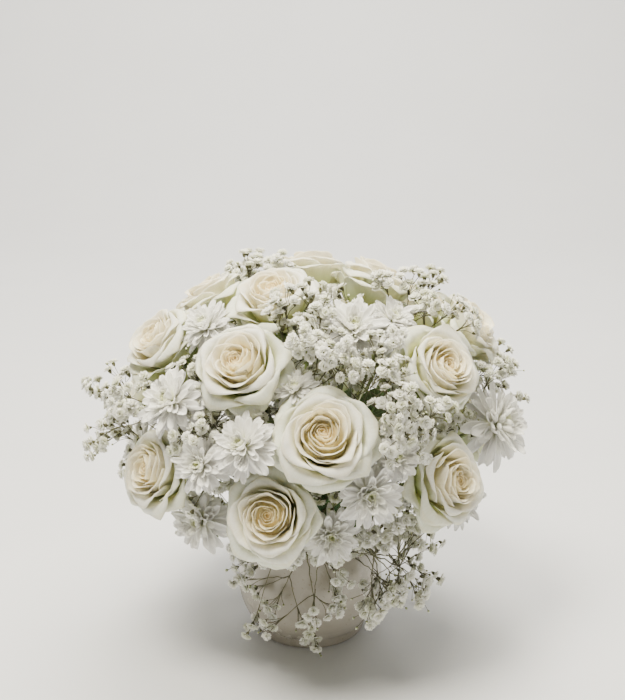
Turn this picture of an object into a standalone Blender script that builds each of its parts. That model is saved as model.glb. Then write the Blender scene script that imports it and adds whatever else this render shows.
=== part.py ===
"""Floral table centrepiece: a dome of roses, chrysanthemums and baby's breath
standing in floral foam in a round ceramic bowl.

Frame: metres, +Z up, origin at the centre of the bowl's flat base, on the
surface it stands on.  The arrangement's front faces -Y and its right side +X.

Every flower is placed by the heading that its stem takes out of the foam
(azimuth from the front towards +X, elevation above the horizon) and by how
far its face is sunk below the dome, the smooth surface that all the faces
share.
"""

import math
import random

import bpy
from mathutils import Matrix, Vector

MM = 0.001

# ---------------------------------------------------------------- dimensions
BOWL_H = 98 * MM          # height of the rim
FOOT_R = 43.7 * MM        # radius of the foot
BELLY_R = 58.0 * MM       # widest radius of the bowl
RIM_R = 51.5 * MM         # outside radius of the rim
WALL = 4.0 * MM           # wall thickness

FOAM_R = 44.0 * MM        # floral foam, pushed down into the bowl
FOAM_Z0 = 14.0 * MM
FOAM_Z1 = 117.0 * MM
STEM_C = Vector((0, 0, 92 * MM))   # the point in the foam that stems aim at
STEM_IN = 21 * MM         # how near to that point the stems end
CHANNEL_GAP = 0.45 * MM   # clearance between a stem and its channel

DOME_C = Vector((0, 0, 191 * MM))  # the dome of flower faces
DOME_A = 150 * MM         # half width
DOME_B = 112 * MM         # half height

ROSE_STEM_R = 2.5 * MM
MUM_STEM_R = 1.7 * MM
TWIG_R = 0.75 * MM
HUB_R = 1.5 * MM          # the knots where its twigs branch
CLUMP_R = 6.0 * MM        # a tuft of baby's breath florets

# name, azimuth, elevation, sink mm, face azimuth, face elevation, radius mm, spin
ROSES = [
    ("rose_01", 4, 42, 2, 2, 34, 35.0, 20),
    ("rose_02", -12, 25, 2, -12, 18, 33.5, 75),
    ("rose_03", -27, 56, 2, -22, 44, 33.5, 130),
    ("rose_04", -38, 77, 2, -30, 66, 34.0, 10),
    ("rose_05", -77, 53, 1, -64, 42, 31.0, 200),
    ("rose_06", -56, 28, 2, -50, 20, 32.0, 95),
    ("rose_07", 51, 51.5, 0, 40, 38, 32.5, 305),
    ("rose_08", 47, 28, 2, 46, 20, 33.0, 160),
    ("rose_09", 89, 52.5, -7, 82, 40, 33.0, 45),
    ("rose_10", 112, 74, 2, 130, 60, 34.0, 260),
    ("rose_11", 180, 73, 2, 170, 68, 33.5, 330),
    ("rose_12", 150, 51, 3, 150, 46, 33.0, 15),
    ("rose_13", -164, 50, 3, -162, 46, 33.0, 285),
    ("rose_14", -128, 52, 3, -126, 46, 32.5, 110),
    ("rose_15", 104, 27, 3, 104, 22, 32.5, 65),
    ("rose_16", 172, 25, 3, 172, 20, 32.5, 230),
    ("rose_17", -102, 66, 3, -104, 58, 30.5, 175),
    ("rose_18", -114, 35, 3, -114, 28, 31.5, 320),
    ("rose_19", 120, 55, 4, 120, 48, 30.5, 60),
]
ROSE_DEPTH = 1.24         # bloom height over bloom radius

# name, azimuth, elevation, sink mm, face azimuth, face elevation, radius mm, spin
MUMS = [
    ("chrysanthemum_01", -20, 40, 4, -32, 34, 20.5, 0),
    ("chrysanthemum_02", -33, 34, 5, -32, 22, 18.0, 14),
    ("chrysanthemum_03", -42, 18, 3, -34, 10, 21.0, 31),
    ("chrysanthemum_04", -60, 63, 6, -52, 56, 18.5, 8),
    ("chrysanthemum_05", -49, 45, 3, -46, 40, 22.0, 22),
    ("chrysanthemum_06", 22, 66, 3, 12, 54, 21.0, 3),
    ("chrysanthemum_07", 49, 66.5, 5, 42, 58, 16.5, 17),
    ("chrysanthemum_08", 77, 32, -7, 54, 24, 27.5, 12),
    ("chrysanthemum_09", 17, 29, 3, 16, 8, 20.0, 27),
    ("chrysanthemum_10", 72, 16, -5, 58, 6, 22.0, 5),
    ("chrysanthemum_11", 7, 19, 5, 8, 10, 17.5, 40),
    ("chrysanthemum_12", -103, 50, 3, -100, 42, 17.5, 19),
    ("chrysanthemum_13", -139, 30, 2, -138, 24, 23.5, 25),
    ("chrysanthemum_14", -91, 25, 3, -94, 18, 21.5, 33),
    ("chrysanthemum_15", 137, 25, 2, 137, 20, 22.5, 11),
    ("chrysanthemum_16", -6, 55, 21, -6, 48, 14.0, 36),
    ("chrysanthemum_17", 130, 39, 3, 130, 32, 23.5, 3),
    ("chrysanthemum_18", 154, 33, 3, 154, 28, 23.5, 21),
    ("chrysanthemum_19", 174, 42, 3, 174, 38, 23.0, 16),
    ("chrysanthemum_20", 88, 17, 9, 88, 10, 19.5, 29),
    ("chrysanthemum_21", -166, 33, 3, -166, 28, 24.0, 7),
    ("chrysanthemum_22", -120, 18, 3, -120, 12, 22.0, 38),
    ("chrysanthemum_23", -148, 16, 3, -148, 10, 23.0, 13),
    ("chrysanthemum_24", 150, 15, 3, 150, 8, 22.5, 30),
    ("chrysanthemum_25", 123, 15, 3, 123, 8, 22.0, 4),
    ("chrysanthemum_26", 26, 37, 10, 24, 32, 14.5, 24),
]
MUM_DEPTH = 0.86          # head height over head radius


# name, azimuth, elevation, distance of the tip as a share of the dome's, length mm, half width mm, roll
LEAVES = [
    ("leaf_01", 14, 54, 0.90, 46, 11.5, 25),
    ("leaf_02", 31, 54, 0.88, 44, 11.0, -35),
    ("leaf_03", -152, 38, 0.90, 44, 11.0, 20),
]


# ------------------------------------------------------------------ geometry
def heading(az, el):
    a, e = math.radians(az), math.radians(el)
    return Vector((math.sin(a) * math.cos(e), -math.cos(a) * math.cos(e), math.sin(e)))


def dome_point(direction, origin=STEM_C):
    """Where a line from the foam leaves the dome."""
    s = Vector((1 / DOME_A, 1 / DOME_A, 1 / DOME_B))
    o, d = (origin - DOME_C) * s, direction * s
    a, b, c = d.dot(d), 2 * o.dot(d), o.dot(o) - 1
    return origin + direction * ((-b + math.sqrt(b * b - 4 * a * c)) / (2 * a))


def frame_of(axis, spin):
    """Rotation whose +Z is axis, turned about it by spin degrees."""
    z = axis.normalized()
    up = Vector((0, 0, 1)) if abs(z.z) < 0.95 else Vector((0, 1, 0))
    x = up.cross(z).normalized()
    y = z.cross(x)
    turn = Matrix(((x.x, y.x, z.x), (x.y, y.y, z.y), (x.z, y.z, z.z)))
    return (turn @ Matrix.Rotation(math.radians(spin), 3, "Z")).to_4x4()


def placed(row, depth):
    """(base point, axis, radius, height, spin) of a flower in the table."""
    _, az, el, sink, faz, fel, radius, spin = row
    r = radius * MM
    out = heading(az, el)
    axis = heading(faz, fel)
    face = dome_point(out) - out * (sink * MM)
    h = r * depth
    return face - axis * (h * 0.9), axis, r, h, spin


def bezier(p0, p1, p2, p3, n):
    out = []
    for i in range(n + 1):
        t = i / n
        u = 1 - t
        out.append(p0 * (u ** 3) + p1 * (3 * u * u * t) + p2 * (3 * u * t * t) + p3 * (t ** 3))
    return out


def stem_line(row, depth, n=4):
    """Centre line of a flower's stem, from its cut end in the foam to the flower."""
    base, axis, _, _, _ = placed(row, depth)
    d = (base - STEM_C).normalized()
    start = STEM_C + d * STEM_IN
    length = (base - start).length
    return bezier(start, start + d * (length * 0.45), base - axis * (length * 0.22), base, n)


def mesh_object(name, verts, faces, mat, smooth=True):
    me = bpy.data.meshes.new(name)
    me.from_pydata([tuple(v) for v in verts], [], faces)
    me.validate()
    me.update()
    if smooth:
        me.shade_smooth()
        me.set_sharp_from_angle(angle=math.radians(50))
    ob = bpy.data.objects.new(name, me)
    bpy.context.scene.collection.objects.link(ob)
    me.materials.append(mat)
    return ob


def turned(profile, n, shape=None):
    """Closed solid turned about +Z.  profile runs from the axis at the bottom, up
    the outside, to the axis at the top, as (radius, height).  shape(r, z, a, k)
    moves the points of ring k."""
    verts, faces = [], []
    rings = profile[1:-1]
    verts.append(Vector((0, 0, profile[0][1])))
    for k, (r, z) in enumerate(rings):
        for i in range(n):
            a = 2 * math.pi * i / n
            rr, zz = shape(r, z, a, k) if shape else (r, z)
            verts.append(Vector((rr * math.cos(a), rr * math.sin(a), zz)))
    verts.append(Vector((0, 0, profile[-1][1])))
    top = len(verts) - 1
    for i in range(n):
        faces.append((0, 1 + (i + 1) % n, 1 + i))
    for k in range(len(rings) - 1):
        for i in range(n):
            a, b = 1 + k * n + i, 1 + k * n + (i + 1) % n
            faces.append((a, b, b + n, a + n))
    last = 1 + (len(rings) - 1) * n
    for i in range(n):
        faces.append((last + i, last + (i + 1) % n, top))
    return verts, faces


def tube(line, radius, n, tip=None):
    """Closed tube along a line of points; radius may be a list."""
    radii = radius if isinstance(radius, list) else [radius] * len(line)
    verts, faces = [], []
    x = None
    for i, p in enumerate(line):
        a = line[max(i - 1, 0)]
        b = line[min(i + 1, len(line) - 1)]
        z = (b - a).normalized()
        if x is None:
            x = z.orthogonal().normalized()
        x = (x - z * x.dot(z)).normalized()
        y = z.cross(x)
        for k in range(n):
            t = 2 * math.pi * k / n
            verts.append(p + (x * math.cos(t) + y * math.sin(t)) * radii[i])
    for i in range(len(line) - 1):
        for k in range(n):
            a, b = i * n + k, i * n + (k + 1) % n
            faces.append((a, b, b + n, a + n))
    faces.append(tuple(reversed(range(n))))
    faces.append(tuple(range((len(line) - 1) * n, len(line) * n)))
    return verts, faces


def material(name, colour, roughness, metallic=0.0):
    m = bpy.data.materials.new(name)
    m.use_nodes = True
    p = m.node_tree.nodes["Principled BSDF"]
    p.inputs["Base Color"].default_value = (*colour, 1)
    p.inputs["Roughness"].default_value = roughness
    p.inputs["Metallic"].default_value = metallic
    return m


def zipper(verts, faces, low, high, axis):
    """Joins two closed loops of points that both run anticlockwise about axis."""
    x = axis.orthogonal().normalized()
    y = axis.normalized().cross(x)

    def angles(loop):
        mid = sum((verts[i] for i in loop), Vector()) / len(loop)
        return [math.atan2((verts[i] - mid).dot(y), (verts[i] - mid).dot(x)) for i in loop]

    a, b = angles(low), angles(high)
    tau = 2 * math.pi
    first = min(range(len(high)), key=lambda j: abs((b[j] - a[0] + math.pi) % tau - math.pi))
    high = high[first:] + high[:first]
    b = b[first:] + b[:first]
    turn_a = [(t - a[0]) % tau for t in a[1:]] + [tau]
    start_b = (b[0] - a[0] + math.pi) % tau - math.pi
    turn_b = [start_b + (t - b[0]) % tau for t in b[1:]] + [start_b + tau]
    i = j = 0
    while i < len(low) or j < len(high):
        p, q = low[i % len(low)], high[j % len(high)]
        if j >= len(high) or (i < len(low) and turn_a[i] <= turn_b[j]):
            faces.append((p, low[(i + 1) % len(low)], q))
            i += 1
        else:
            faces.append((p, high[(j + 1) % len(high)], q))
            j += 1


# --------------------------------------------------------- the flowers' space
def bloom_radius(share, kind):
    """Outer radius of a bloom, as a share of its full radius, at a share of its height."""
    pts = (
        [(0.0, 0.10), (0.07, 0.34), (0.28, 0.70), (0.58, 0.93), (0.84, 1.0), (1.02, 0.94)]
        if kind == "rose"
        else [(0.0, 0.16), (0.10, 0.50), (0.34, 0.92), (0.55, 1.0), (0.80, 0.82), (1.02, 0.35)]
    )
    if share <= pts[0][0]:
        return pts[0][1]
    for (a, ra), (b, rb) in zip(pts, pts[1:]):
        if share <= b:
            return ra + (rb - ra) * (share - a) / (b - a)
    return pts[-1][1]


def occupied():
    """Every bloom and every stem, as the baby's breath has to grow round them."""
    blooms, lines = [], []
    for rows, depth, kind, sr in (
        (ROSES, ROSE_DEPTH, "rose", ROSE_STEM_R),
        (MUMS, MUM_DEPTH, "mum", MUM_STEM_R),
    ):
        for row in rows:
            base, axis, r, h, _ = placed(row, depth)
            blooms.append((base, axis, r, h, kind))
            lines.append((stem_line(row, depth, 10), sr))
    for row in LEAVES:
        start, base, tip, _ = leaf_line(row)
        lines.append(([start, base], 0.9 * MM))
        lines.append(([base + (tip - base) * 0.25, base + (tip - base) * 0.8], row[5] * 0.8 * MM))
    return blooms, lines


def leaf_line(row):
    """Cut end of a leaf's stalk, foot of its blade, its tip and its heading."""
    _, az, el, share, length, _, _ = row
    out = heading(az, el)
    tip = STEM_C + (dome_point(out) - STEM_C) * share
    return STEM_C + out * (STEM_IN + 4 * MM), tip - out * (length * MM), tip, out


def near_segment(p, a, b):
    ab = b - a
    t = max(0.0, min(1.0, (p - a).dot(ab) / max(ab.length_squared, 1e-12)))
    return (p - (a + ab * t)).length


def bowl_outside(z):
    """Outside radius of the bowl at height z."""
    pts = BOWL_OUTER
    if z <= pts[0][1]:
        return pts[0][0]
    for (ra, za), (rb, zb) in zip(pts, pts[1:]):
        if z <= zb and zb > za:
            return ra + (rb - ra) * (z - za) / (zb - za)
    return 0.0


def is_free(p, margin, blooms, lines):
    """Whether a ball of radius margin at p is clear of the flowers and the bowl."""
    for base, axis, r, h, kind in blooms:
        d = p - base
        if d.length > r + h + margin:
            continue
        along = d.dot(axis)
        if -margin < along < h * 1.02 + margin:
            across = (d - axis * along).length
            share = max(0.0, min(1.0, along / h))
            if across < bloom_radius(share, kind) * r * 1.05 + margin * 1.15:
                return False
    for line, sr in lines:
        for a, b in zip(line, line[1:]):
            if near_segment(p, a, b) < sr + margin + 0.4 * MM:
                return False
    out = math.hypot(p.x, p.y)
    if p.z < BOWL_H + margin + 0.5 * MM and out < bowl_outside(p.z) + margin + 1.0 * MM:
        return False
    if p.z < margin + 1.0 * MM:
        return False
    return True


def path_free(a, b, margin, blooms, lines):
    n = max(3, int((b - a).length / (2.0 * MM)))
    return all(is_free(a + (b - a) * (i / n), margin, blooms, lines) for i in range(n + 1))


# name, azimuth, elevation, distance of the fork as a share of the dome's,
# azimuth spread, elevation spread, lift range mm, branches, tufts a branch, seed
SPRAYS = [
    ("babys_breath_01", -2, 62, 0.70, 22, 12, (-18, 8), 8, 4, 11),
    ("babys_breath_02", 26, 46, 0.70, 18, 14, (-20, 8), 8, 4, 5),
    ("babys_breath_03", 66, 63, 0.72, 32, 10, (-14, 12), 6, 4, 3),
    ("babys_breath_04", -69, 37, 0.66, 20, 15, (-14, 24), 8, 4, 17),
    ("babys_breath_05", 92, 37, 0.68, 18, 14, (-8, 24), 7, 4, 23),
    ("babys_breath_08", -140, 68, 0.68, 30, 14, (-18, 2), 7, 4, 41),
    ("babys_breath_09", -146, 43, 0.54, 24, 18, (-20, 12), 7, 4, 53),
    ("babys_breath_10", -37, 47, 0.50, 18, 14, (-34, 0), 7, 4, 61),
]
# name, fork point mm, azimuth range, height range mm, radius range mm, branches, tufts a branch, seed
HANGING = [
    ("babys_breath_06", (-3, -67, 100), (-40, 18), (16, 92), (68, 88), 7, 4, 29),
    ("babys_breath_07", (47, -88, 104), (20, 58), (56, 108), (80, 120), 5, 4, 37),
]


NUDGES = [(0, 0)] + [
    (size * math.cos(k * math.pi / 4) * 1.4, size * math.sin(k * math.pi / 4)) for size in (2, 4, 6, 8) for k in range(8)
]


def spray_plan():
    """{name: (stem line, fork, [(branch point, [tuft...])...])} for every spray."""
    blooms, lines = occupied()
    made, tufts = {}, []
    jobs = []
    for name, az, el, share, saz, sel, lift, branches, each, seed in SPRAYS:
        for turn, rise in NUDGES:
            out = heading(az + turn, el + rise)
            fork = STEM_C + (dome_point(out) - STEM_C) * share
            start = STEM_C + out * (STEM_IN + 9 * MM)
            if path_free(start, fork + out * (4 * MM), TWIG_R * 1.6 + 0.4 * MM, blooms, lines):
                break
        stem = [start + (fork - start) * (i / 2) for i in range(3)]

        def pick(rng, az=az, el=el, saz=saz, sel=sel, lift=lift):
            a, r = rng.uniform(0, 2 * math.pi), math.sqrt(rng.random())
            e = el + r * math.sin(a) * sel
            d = heading(az + r * math.cos(a) * saz, e)
            return dome_point(d) + d * (rng.uniform(*lift) * MM)

        jobs.append((name, stem, fork, pick, branches, each, seed, 0.50, 27))
    for name, fork_mm, azs, zs, rs, branches, each, seed in HANGING:
        fork = Vector(fork_mm) * MM
        d = Vector((fork.x, fork.y, 0)).normalized()
        start = Vector((d.x * 28 * MM, d.y * 28 * MM, 107.5 * MM))
        stem = bezier(start, start + d * (24 * MM), fork - d * (7 * MM) + Vector((0, 0, 9 * MM)), fork, 4)

        def pick(rng, azs=azs, zs=zs, rs=rs):
            t = rng.random()
            z = zs[0] + (zs[1] - zs[0]) * t
            return heading(rng.uniform(*azs), 0) * (rng.uniform(*rs) * MM) + Vector((0, 0, z * MM))

        jobs.append((name, stem, fork, pick, branches, each, seed, 0.52, 30))
    for name, stem, fork, pick, branches, each, seed, part, reach in jobs:
        rng = random.Random(seed)
        arms, own = [], [(stem[-2], stem[-1])]
        back = (stem[-2] - stem[-1]).normalized()
        for _ in range(branches * 60):
            if len(arms) >= branches:
                break
            aim = pick(rng)
            knot = fork + (aim - fork) * (part * rng.uniform(0.85, 1.15))
            d = (knot - fork).normalized()
            if d.dot(back) > -0.05 or (knot - fork).length < 12 * MM:
                continue
            if any(d.dot((k - fork).normalized()) > 0.80 for k, _ in arms):
                continue
            if not path_free(fork, knot, HUB_R + 0.4 * MM, blooms, lines):
                continue
            tips = []
            for _ in range(each * 30):
                if len(tips) >= each:
                    break
                tip = pick(rng)
                t = (tip - knot).normalized()
                if not 9 * MM + CLUMP_R < (tip - knot).length < reach * 2 * MM:
                    continue
                if t.dot(d) < 0.18 or any(t.dot((q - knot).normalized()) > 0.80 for q in tips):
                    continue
                if any((tip - q).length < 2 * CLUMP_R + 0.5 * MM for q in tufts + tips):
                    continue
                if not is_free(tip, CLUMP_R + 0.4 * MM, blooms, lines):
                    continue
                if not path_free(knot, tip, TWIG_R + 0.4 * MM, blooms, lines):
                    continue
                if any(segments_apart(knot + t * (4 * MM), tip, p, q) < 2 * TWIG_R + 0.6 * MM for p, q in own):
                    continue
                if any(near_segment(tip, p, q) < CLUMP_R + 1.0 * MM for p, q in own):
                    continue
                if near_segment(tip, fork, knot) < CLUMP_R + 1.2 * MM:
                    continue
                if any(near_segment(q, knot, tip) < CLUMP_R + TWIG_R + 0.5 * MM for q in tufts + tips):
                    continue
                tips.append(tip)
            if len(tips) < 2:
                continue
            if any(near_segment(q, fork, knot) < CLUMP_R + TWIG_R + 0.8 * MM for q in tufts):
                continue
            if any(segments_apart(fork + d * (6 * MM), knot, p, q) < HUB_R + TWIG_R + 0.6 * MM for p, q in own[1:] if p != fork):
                continue
            arms.append((knot, tips))
            tufts += tips
            own.append((fork, knot))
            own += [(knot, tip) for tip in tips]
        made[name] = (stem, fork, arms)
        lines.append((stem, TWIG_R * 1.6))
        for knot, tips in arms:
            lines.append(([fork, knot], HUB_R))
            for tip in tips:
                lines.append(([knot, tip], TWIG_R * 1.2))
    return made


def segments_apart(a, b, c, d, n=9):
    """Least distance between two segments, from points along the first."""
    return min(near_segment(a + (b - a) * (i / n), c, d) for i in range(n + 1))


# ---------------------------------------------------------------- the pieces
BOWL_OUTER = [
    (FOOT_R - 1.5 * MM, 0.0),
    (FOOT_R, 1.5 * MM),
    (FOOT_R, 7.0 * MM),
    (FOOT_R + 4.6 * MM, 12.0 * MM),
    (FOOT_R + 10.0 * MM, 21.0 * MM),
    (FOOT_R + 13.4 * MM, 32.0 * MM),
    (BELLY_R, 43.0 * MM),
    (BELLY_R - 0.6 * MM, 56.0 * MM),
    (BELLY_R - 2.6 * MM, 71.0 * MM),
    (BELLY_R - 5.2 * MM, 85.0 * MM),
    (RIM_R, BOWL_H - 2.0 * MM),
    (RIM_R - 1.2 * MM, BOWL_H),
]


def make_bowl(mat):
    inner = [
        (RIM_R - WALL + 1.0 * MM, BOWL_H),
        (RIM_R - WALL, BOWL_H - 2.0 * MM),
        (BELLY_R - 5.0 * MM - WALL, 84.0 * MM),
        (BELLY_R - 1.0 * MM - WALL, 56.0 * MM),
        (BELLY_R - 0.8 * MM - WALL, 40.0 * MM),
        (FOOT_R + 9.0 * MM - WALL, 24.0 * MM),
        (FOOT_R + 1.0 * MM - WALL, 12.0 * MM),
        (FOOT_R - 8.0 * MM, 7.5 * MM),
    ]
    profile = [(0, 0)] + BOWL_OUTER + inner + [(0, 7.0 * MM)]
    verts, faces = turned(profile, 34)
    return mesh_object("bowl", verts, faces, mat)


def make_foam(mat, channels):
    profile = [
        (0, FOAM_Z0),
        (FOAM_R - 8 * MM, FOAM_Z0),
        (FOAM_R, FOAM_Z0 + 13 * MM),
        (FOAM_R, FOAM_Z1 - 9 * MM),
        (FOAM_R - 8 * MM, FOAM_Z1),
        (0, FOAM_Z1),
    ]
    verts, faces = turned(profile, 28)
    foam = mesh_object("floral_foam", verts, faces, mat)
    for i, (line, radius) in enumerate(channels):
        v, f = tube(line, radius, 6)
        cutter = mesh_object("channel_%02d" % i, v, f, mat)
        cutter.hide_render = True
        cutter.display_type = "WIRE"
        mod = foam.modifiers.new("channel_%02d" % i, "BOOLEAN")
        mod.operation = "DIFFERENCE"
        mod.solver = "EXACT"
        mod.object = cutter
    return foam


def make_rose(row, mat):
    name = row[0]
    base, axis, r, h, spin = placed(row, ROSE_DEPTH)
    profile = [
        (0, 0.0),
        (0.10 * r, 0.0),
        (0.34 * r, 0.07 * h),
        (0.69 * r, 0.28 * h),
        (0.91 * r, 0.58 * h),
        (0.97 * r, 0.84 * h),
        (0.84 * r, 0.87 * h),
        (0.62 * r, 0.78 * h),
        (0.50 * r, 0.92 * h),
        (0.32 * r, 0.87 * h),
        (0.18 * r, 0.99 * h),
        (0, 0.95 * h),
    ]

    def petals(rr, z, a, k):
        """Five guard petals outside, and a spiral of inner petals in the middle."""
        if k in (3, 4, 5):
            rr *= 1 - 0.05 * (0.5 - 0.5 * math.cos(5 * a))
            z -= 0.03 * h * (0.5 - 0.5 * math.cos(5 * a))
        elif k in (6, 7, 8, 9):
            rr *= 1 + 0.07 * math.cos(3 * a + k * 1.9)
        return rr, z

    n = 15
    head_v, head_f = turned(profile, n, petals)
    turn = Matrix.Translation(base) @ frame_of(axis, spin)
    line = stem_line(row, ROSE_DEPTH)
    line[-1] = base - axis * (0.6 * MM)
    hip = base - axis * (8 * MM)
    line = [p for p in line[:-1] if (p - base).length > 14 * MM] + [hip, hip + axis * (3.4 * MM), line[-1]]
    radii = [ROSE_STEM_R] * (len(line) - 2) + [4.4 * MM, 3.2 * MM]
    verts, faces = tube(line, radii, 5)
    faces.pop()
    top = len(verts)
    verts += [turn @ v for v in head_v[1:]]
    faces += [tuple(i - 1 + top for i in face) for face in head_f[n:]]
    zipper(verts, faces, list(range(top - 5, top)), list(range(top, top + n)), axis)
    mesh_object(name, verts, faces, mat)
    return line


def make_mum(row, mat):
    name = row[0]
    base, axis, r, h, spin = placed(row, MUM_DEPTH)
    profile = [
        (0, 0.0),
        (0.16 * r, 0.0),
        (0.50 * r, 0.10 * h),
        (0.95 * r, 0.40 * h),
        (0.98 * r, 0.56 * h),
        (0.78 * r, 0.82 * h),
        (0.32 * r, 0.99 * h),
        (0, 0.94 * h),
    ]

    def rays(rr, z, a, k):
        """Alternating tips of the ray petals."""
        if k in (2, 3, 4):
            rr *= 1.0 if round(a / (2 * math.pi) * 14 + k) % 2 else 0.86
        return rr, z

    n = 14
    head_v, head_f = turned(profile, n, rays)
    turn = Matrix.Translation(base) @ frame_of(axis, spin)
    line = stem_line(row, MUM_DEPTH)
    line[-1] = base - axis * (0.2 * MM)
    verts, faces = tube(line, MUM_STEM_R, 5)
    faces.pop()
    top = len(verts)
    verts += [turn @ v for v in head_v[1:]]
    faces += [tuple(i - 1 + top for i in face) for face in head_f[n:]]
    zipper(verts, faces, list(range(top - 5, top)), list(range(top, top + n)), axis)
    mesh_object(name, verts, faces, mat)
    return line


def knot_ball(centre, radius, towards):
    """Icosahedron with one face square to a direction."""
    phi = (1 + 5 ** 0.5) / 2
    points = [Vector(p).normalized() for p in (
        (-1, phi, 0), (1, phi, 0), (-1, -phi, 0), (1, -phi, 0), (0, -1, phi), (0, 1, phi),
        (0, -1, -phi), (0, 1, -phi), (phi, 0, -1), (phi, 0, 1), (-phi, 0, -1), (-phi, 0, 1))]
    tri = [(0, 11, 5), (0, 5, 1), (0, 1, 7), (0, 7, 10), (0, 10, 11), (1, 5, 9), (5, 11, 4),
           (11, 10, 2), (10, 7, 6), (7, 1, 8), (3, 9, 4), (3, 4, 2), (3, 2, 6), (3, 6, 8),
           (3, 8, 9), (4, 9, 5), (2, 4, 11), (6, 2, 10), (8, 6, 7), (9, 8, 1)]
    normal = sum((points[i] for i in tri[0]), Vector()).normalized()
    turn = normal.rotation_difference(towards)
    return [centre + (turn @ p) * radius for p in points], tri


def make_spray(name, plan, mat):
    stem, fork, arms = plan
    verts, faces = tube(stem, TWIG_R * 1.6, 5)
    faces.pop()
    ring = list(range(len(verts) - 5, len(verts)))

    def add_ball(centre, towards, exits):
        """Puts a knot in place; returns the loop that faces 'towards' and one for each exit."""
        points, tri = knot_ball(centre, HUB_R, towards)
        at = len(verts)
        verts.extend(points)
        free = list(range(1, 20))
        mid = {i: sum((points[k] for k in tri[i]), Vector()) / 3 - centre for i in free}
        loops = []
        for d in exits:
            best = max(free, key=lambda i: mid[i].normalized().dot(d))
            free.remove(best)
            loops.append([at + k for k in tri[best]])
        faces.extend(tuple(at + k for k in tri[i]) for i in free)
        return [at + k for k in reversed(tri[0])], loops

    ahead = (fork - stem[-2]).normalized()
    centre = fork + ahead * (HUB_R * 1.4)
    entry, loops = add_ball(centre, -ahead, [(k - centre).normalized() for k, _ in arms])
    zipper(verts, faces, ring, entry, ahead)
    for (knot, tips), loop in zip(arms, loops):
        d = (knot - centre).normalized()
        entry, exits = add_ball(knot, -d, [(t - knot).normalized() for t in tips])
        zipper(verts, faces, loop, entry, d)
        for tip, way in zip(tips, exits):
            out = (tip - knot).normalized()
            x = out.orthogonal().normalized()
            y = out.cross(x)

            def ring_at(n, r, along, turn):
                at = len(verts)
                for i in range(n):
                    a = 2 * math.pi * (i + turn) / n
                    verts.append(tip + out * along + (x * math.cos(a) + y * math.sin(a)) * r)
                return list(range(at, at + n))

            neck = ring_at(3, TWIG_R, -CLUMP_R * 0.95, 0)
            brim = ring_at(6, CLUMP_R * 0.98, CLUMP_R * 0.15, 0)
            verts.append(tip + out * (CLUMP_R * 0.85))
            pole = len(verts) - 1
            zipper(verts, faces, way, neck, out)
            zipper(verts, faces, neck, brim, out)
            faces.extend((brim[i], brim[(i + 1) % 6], pole) for i in range(6))
    mesh_object(name, verts, faces, mat, smooth=False)
    return stem


def make_leaf(row, mat):
    name, _, _, _, length, half, roll = row
    start, base, tip, out = leaf_line(row)
    side = Vector((0, 0, 1)).cross(out).normalized()
    side = Matrix.Rotation(math.radians(roll), 3, out) @ side
    face = out.cross(side)
    rows = [(start, 0.9, 0.9, 0), (start + (base - start) * 0.5, 0.9, 0.9, 0), (base, 0.9, 0.8, 0)]
    for t, w, bend in ((0.12, 0.50, 0.02), (0.32, 0.92, 0.05), (0.52, 1.0, 0.05), (0.74, 0.72, 0.02), (0.92, 0.28, -0.04)):
        rows.append((base + out * (length * t * MM), half * w, 0.45, bend * length))
    verts, faces = [], []
    n = 6
    for p, w, t, bend in rows:
        for k in range(n):
            a = 2 * math.pi * k / n
            fold = 0.22 * abs(math.cos(a)) * (w if w > 2 else 0)
            verts.append(p + side * (w * math.cos(a) * MM) + face * ((t * math.sin(a) + fold + bend) * MM))
    for i in range(len(rows) - 1):
        for k in range(n):
            a, b = i * n + k, i * n + (k + 1) % n
            faces.append((a, b, b + n, a + n))
    faces.append(tuple(reversed(range(n))))
    verts.append(tip)
    last = (len(rows) - 1) * n
    faces.extend((last + k, last + (k + 1) % n, len(verts) - 1) for k in range(n))
    mesh_object(name, verts, faces, mat)
    return [start, base]


def main():
    for ob in list(bpy.data.objects):
        bpy.data.objects.remove(ob)
    ceramic = material("ceramic", (0.62, 0.59, 0.53), 0.28)
    sponge = material("foam", (0.16, 0.30, 0.16), 0.95)
    petal = material("rose_petal", (0.86, 0.83, 0.72), 0.5)
    ray = material("chrysanthemum_petal", (0.88, 0.88, 0.87), 0.5)
    tuft = material("babys_breath", (0.80, 0.82, 0.76), 0.7)
    leaf = material("leaf_green", (0.07, 0.16, 0.05), 0.5)

    make_bowl(ceramic)
    channels = []
    for row in ROSES:
        channels.append((make_rose(row, petal), ROSE_STEM_R))
    for row in MUMS:
        channels.append((make_mum(row, ray), MUM_STEM_R))
    for name, plan in spray_plan().items():
        channels.append((make_spray(name, plan, tuft), TWIG_R * 1.6))
    for row in LEAVES:
        channels.append((make_leaf(row, leaf), 0.9 * MM))
    cut = []
    for line, radius in channels:
        first = line[0] - (line[1] - line[0]).normalized() * (1.0 * MM)
        inside = [first]
        for p in line[1:]:
            inside.append(p)
            if math.hypot(p.x, p.y) > FOAM_R + 6 * MM or p.z > FOAM_Z1 + 6 * MM:
                break
        cut.append((inside, (radius + CHANNEL_GAP) / math.cos(math.pi / 6)))
    make_foam(sponge, cut)


main()
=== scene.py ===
"""Floral table centrepiece: the flowers, foliage and bowl as they look, built on the
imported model's frame.  Metres, +Z up, origin at the centre of the bowl's base.

The table of flowers and the plan of the baby's breath repeat those of the solids,
so that every bloom, stem and twig here sits where its solid is.
"""

import math
import random

import bpy
import numpy as np
from mathutils import Matrix, Vector


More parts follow.
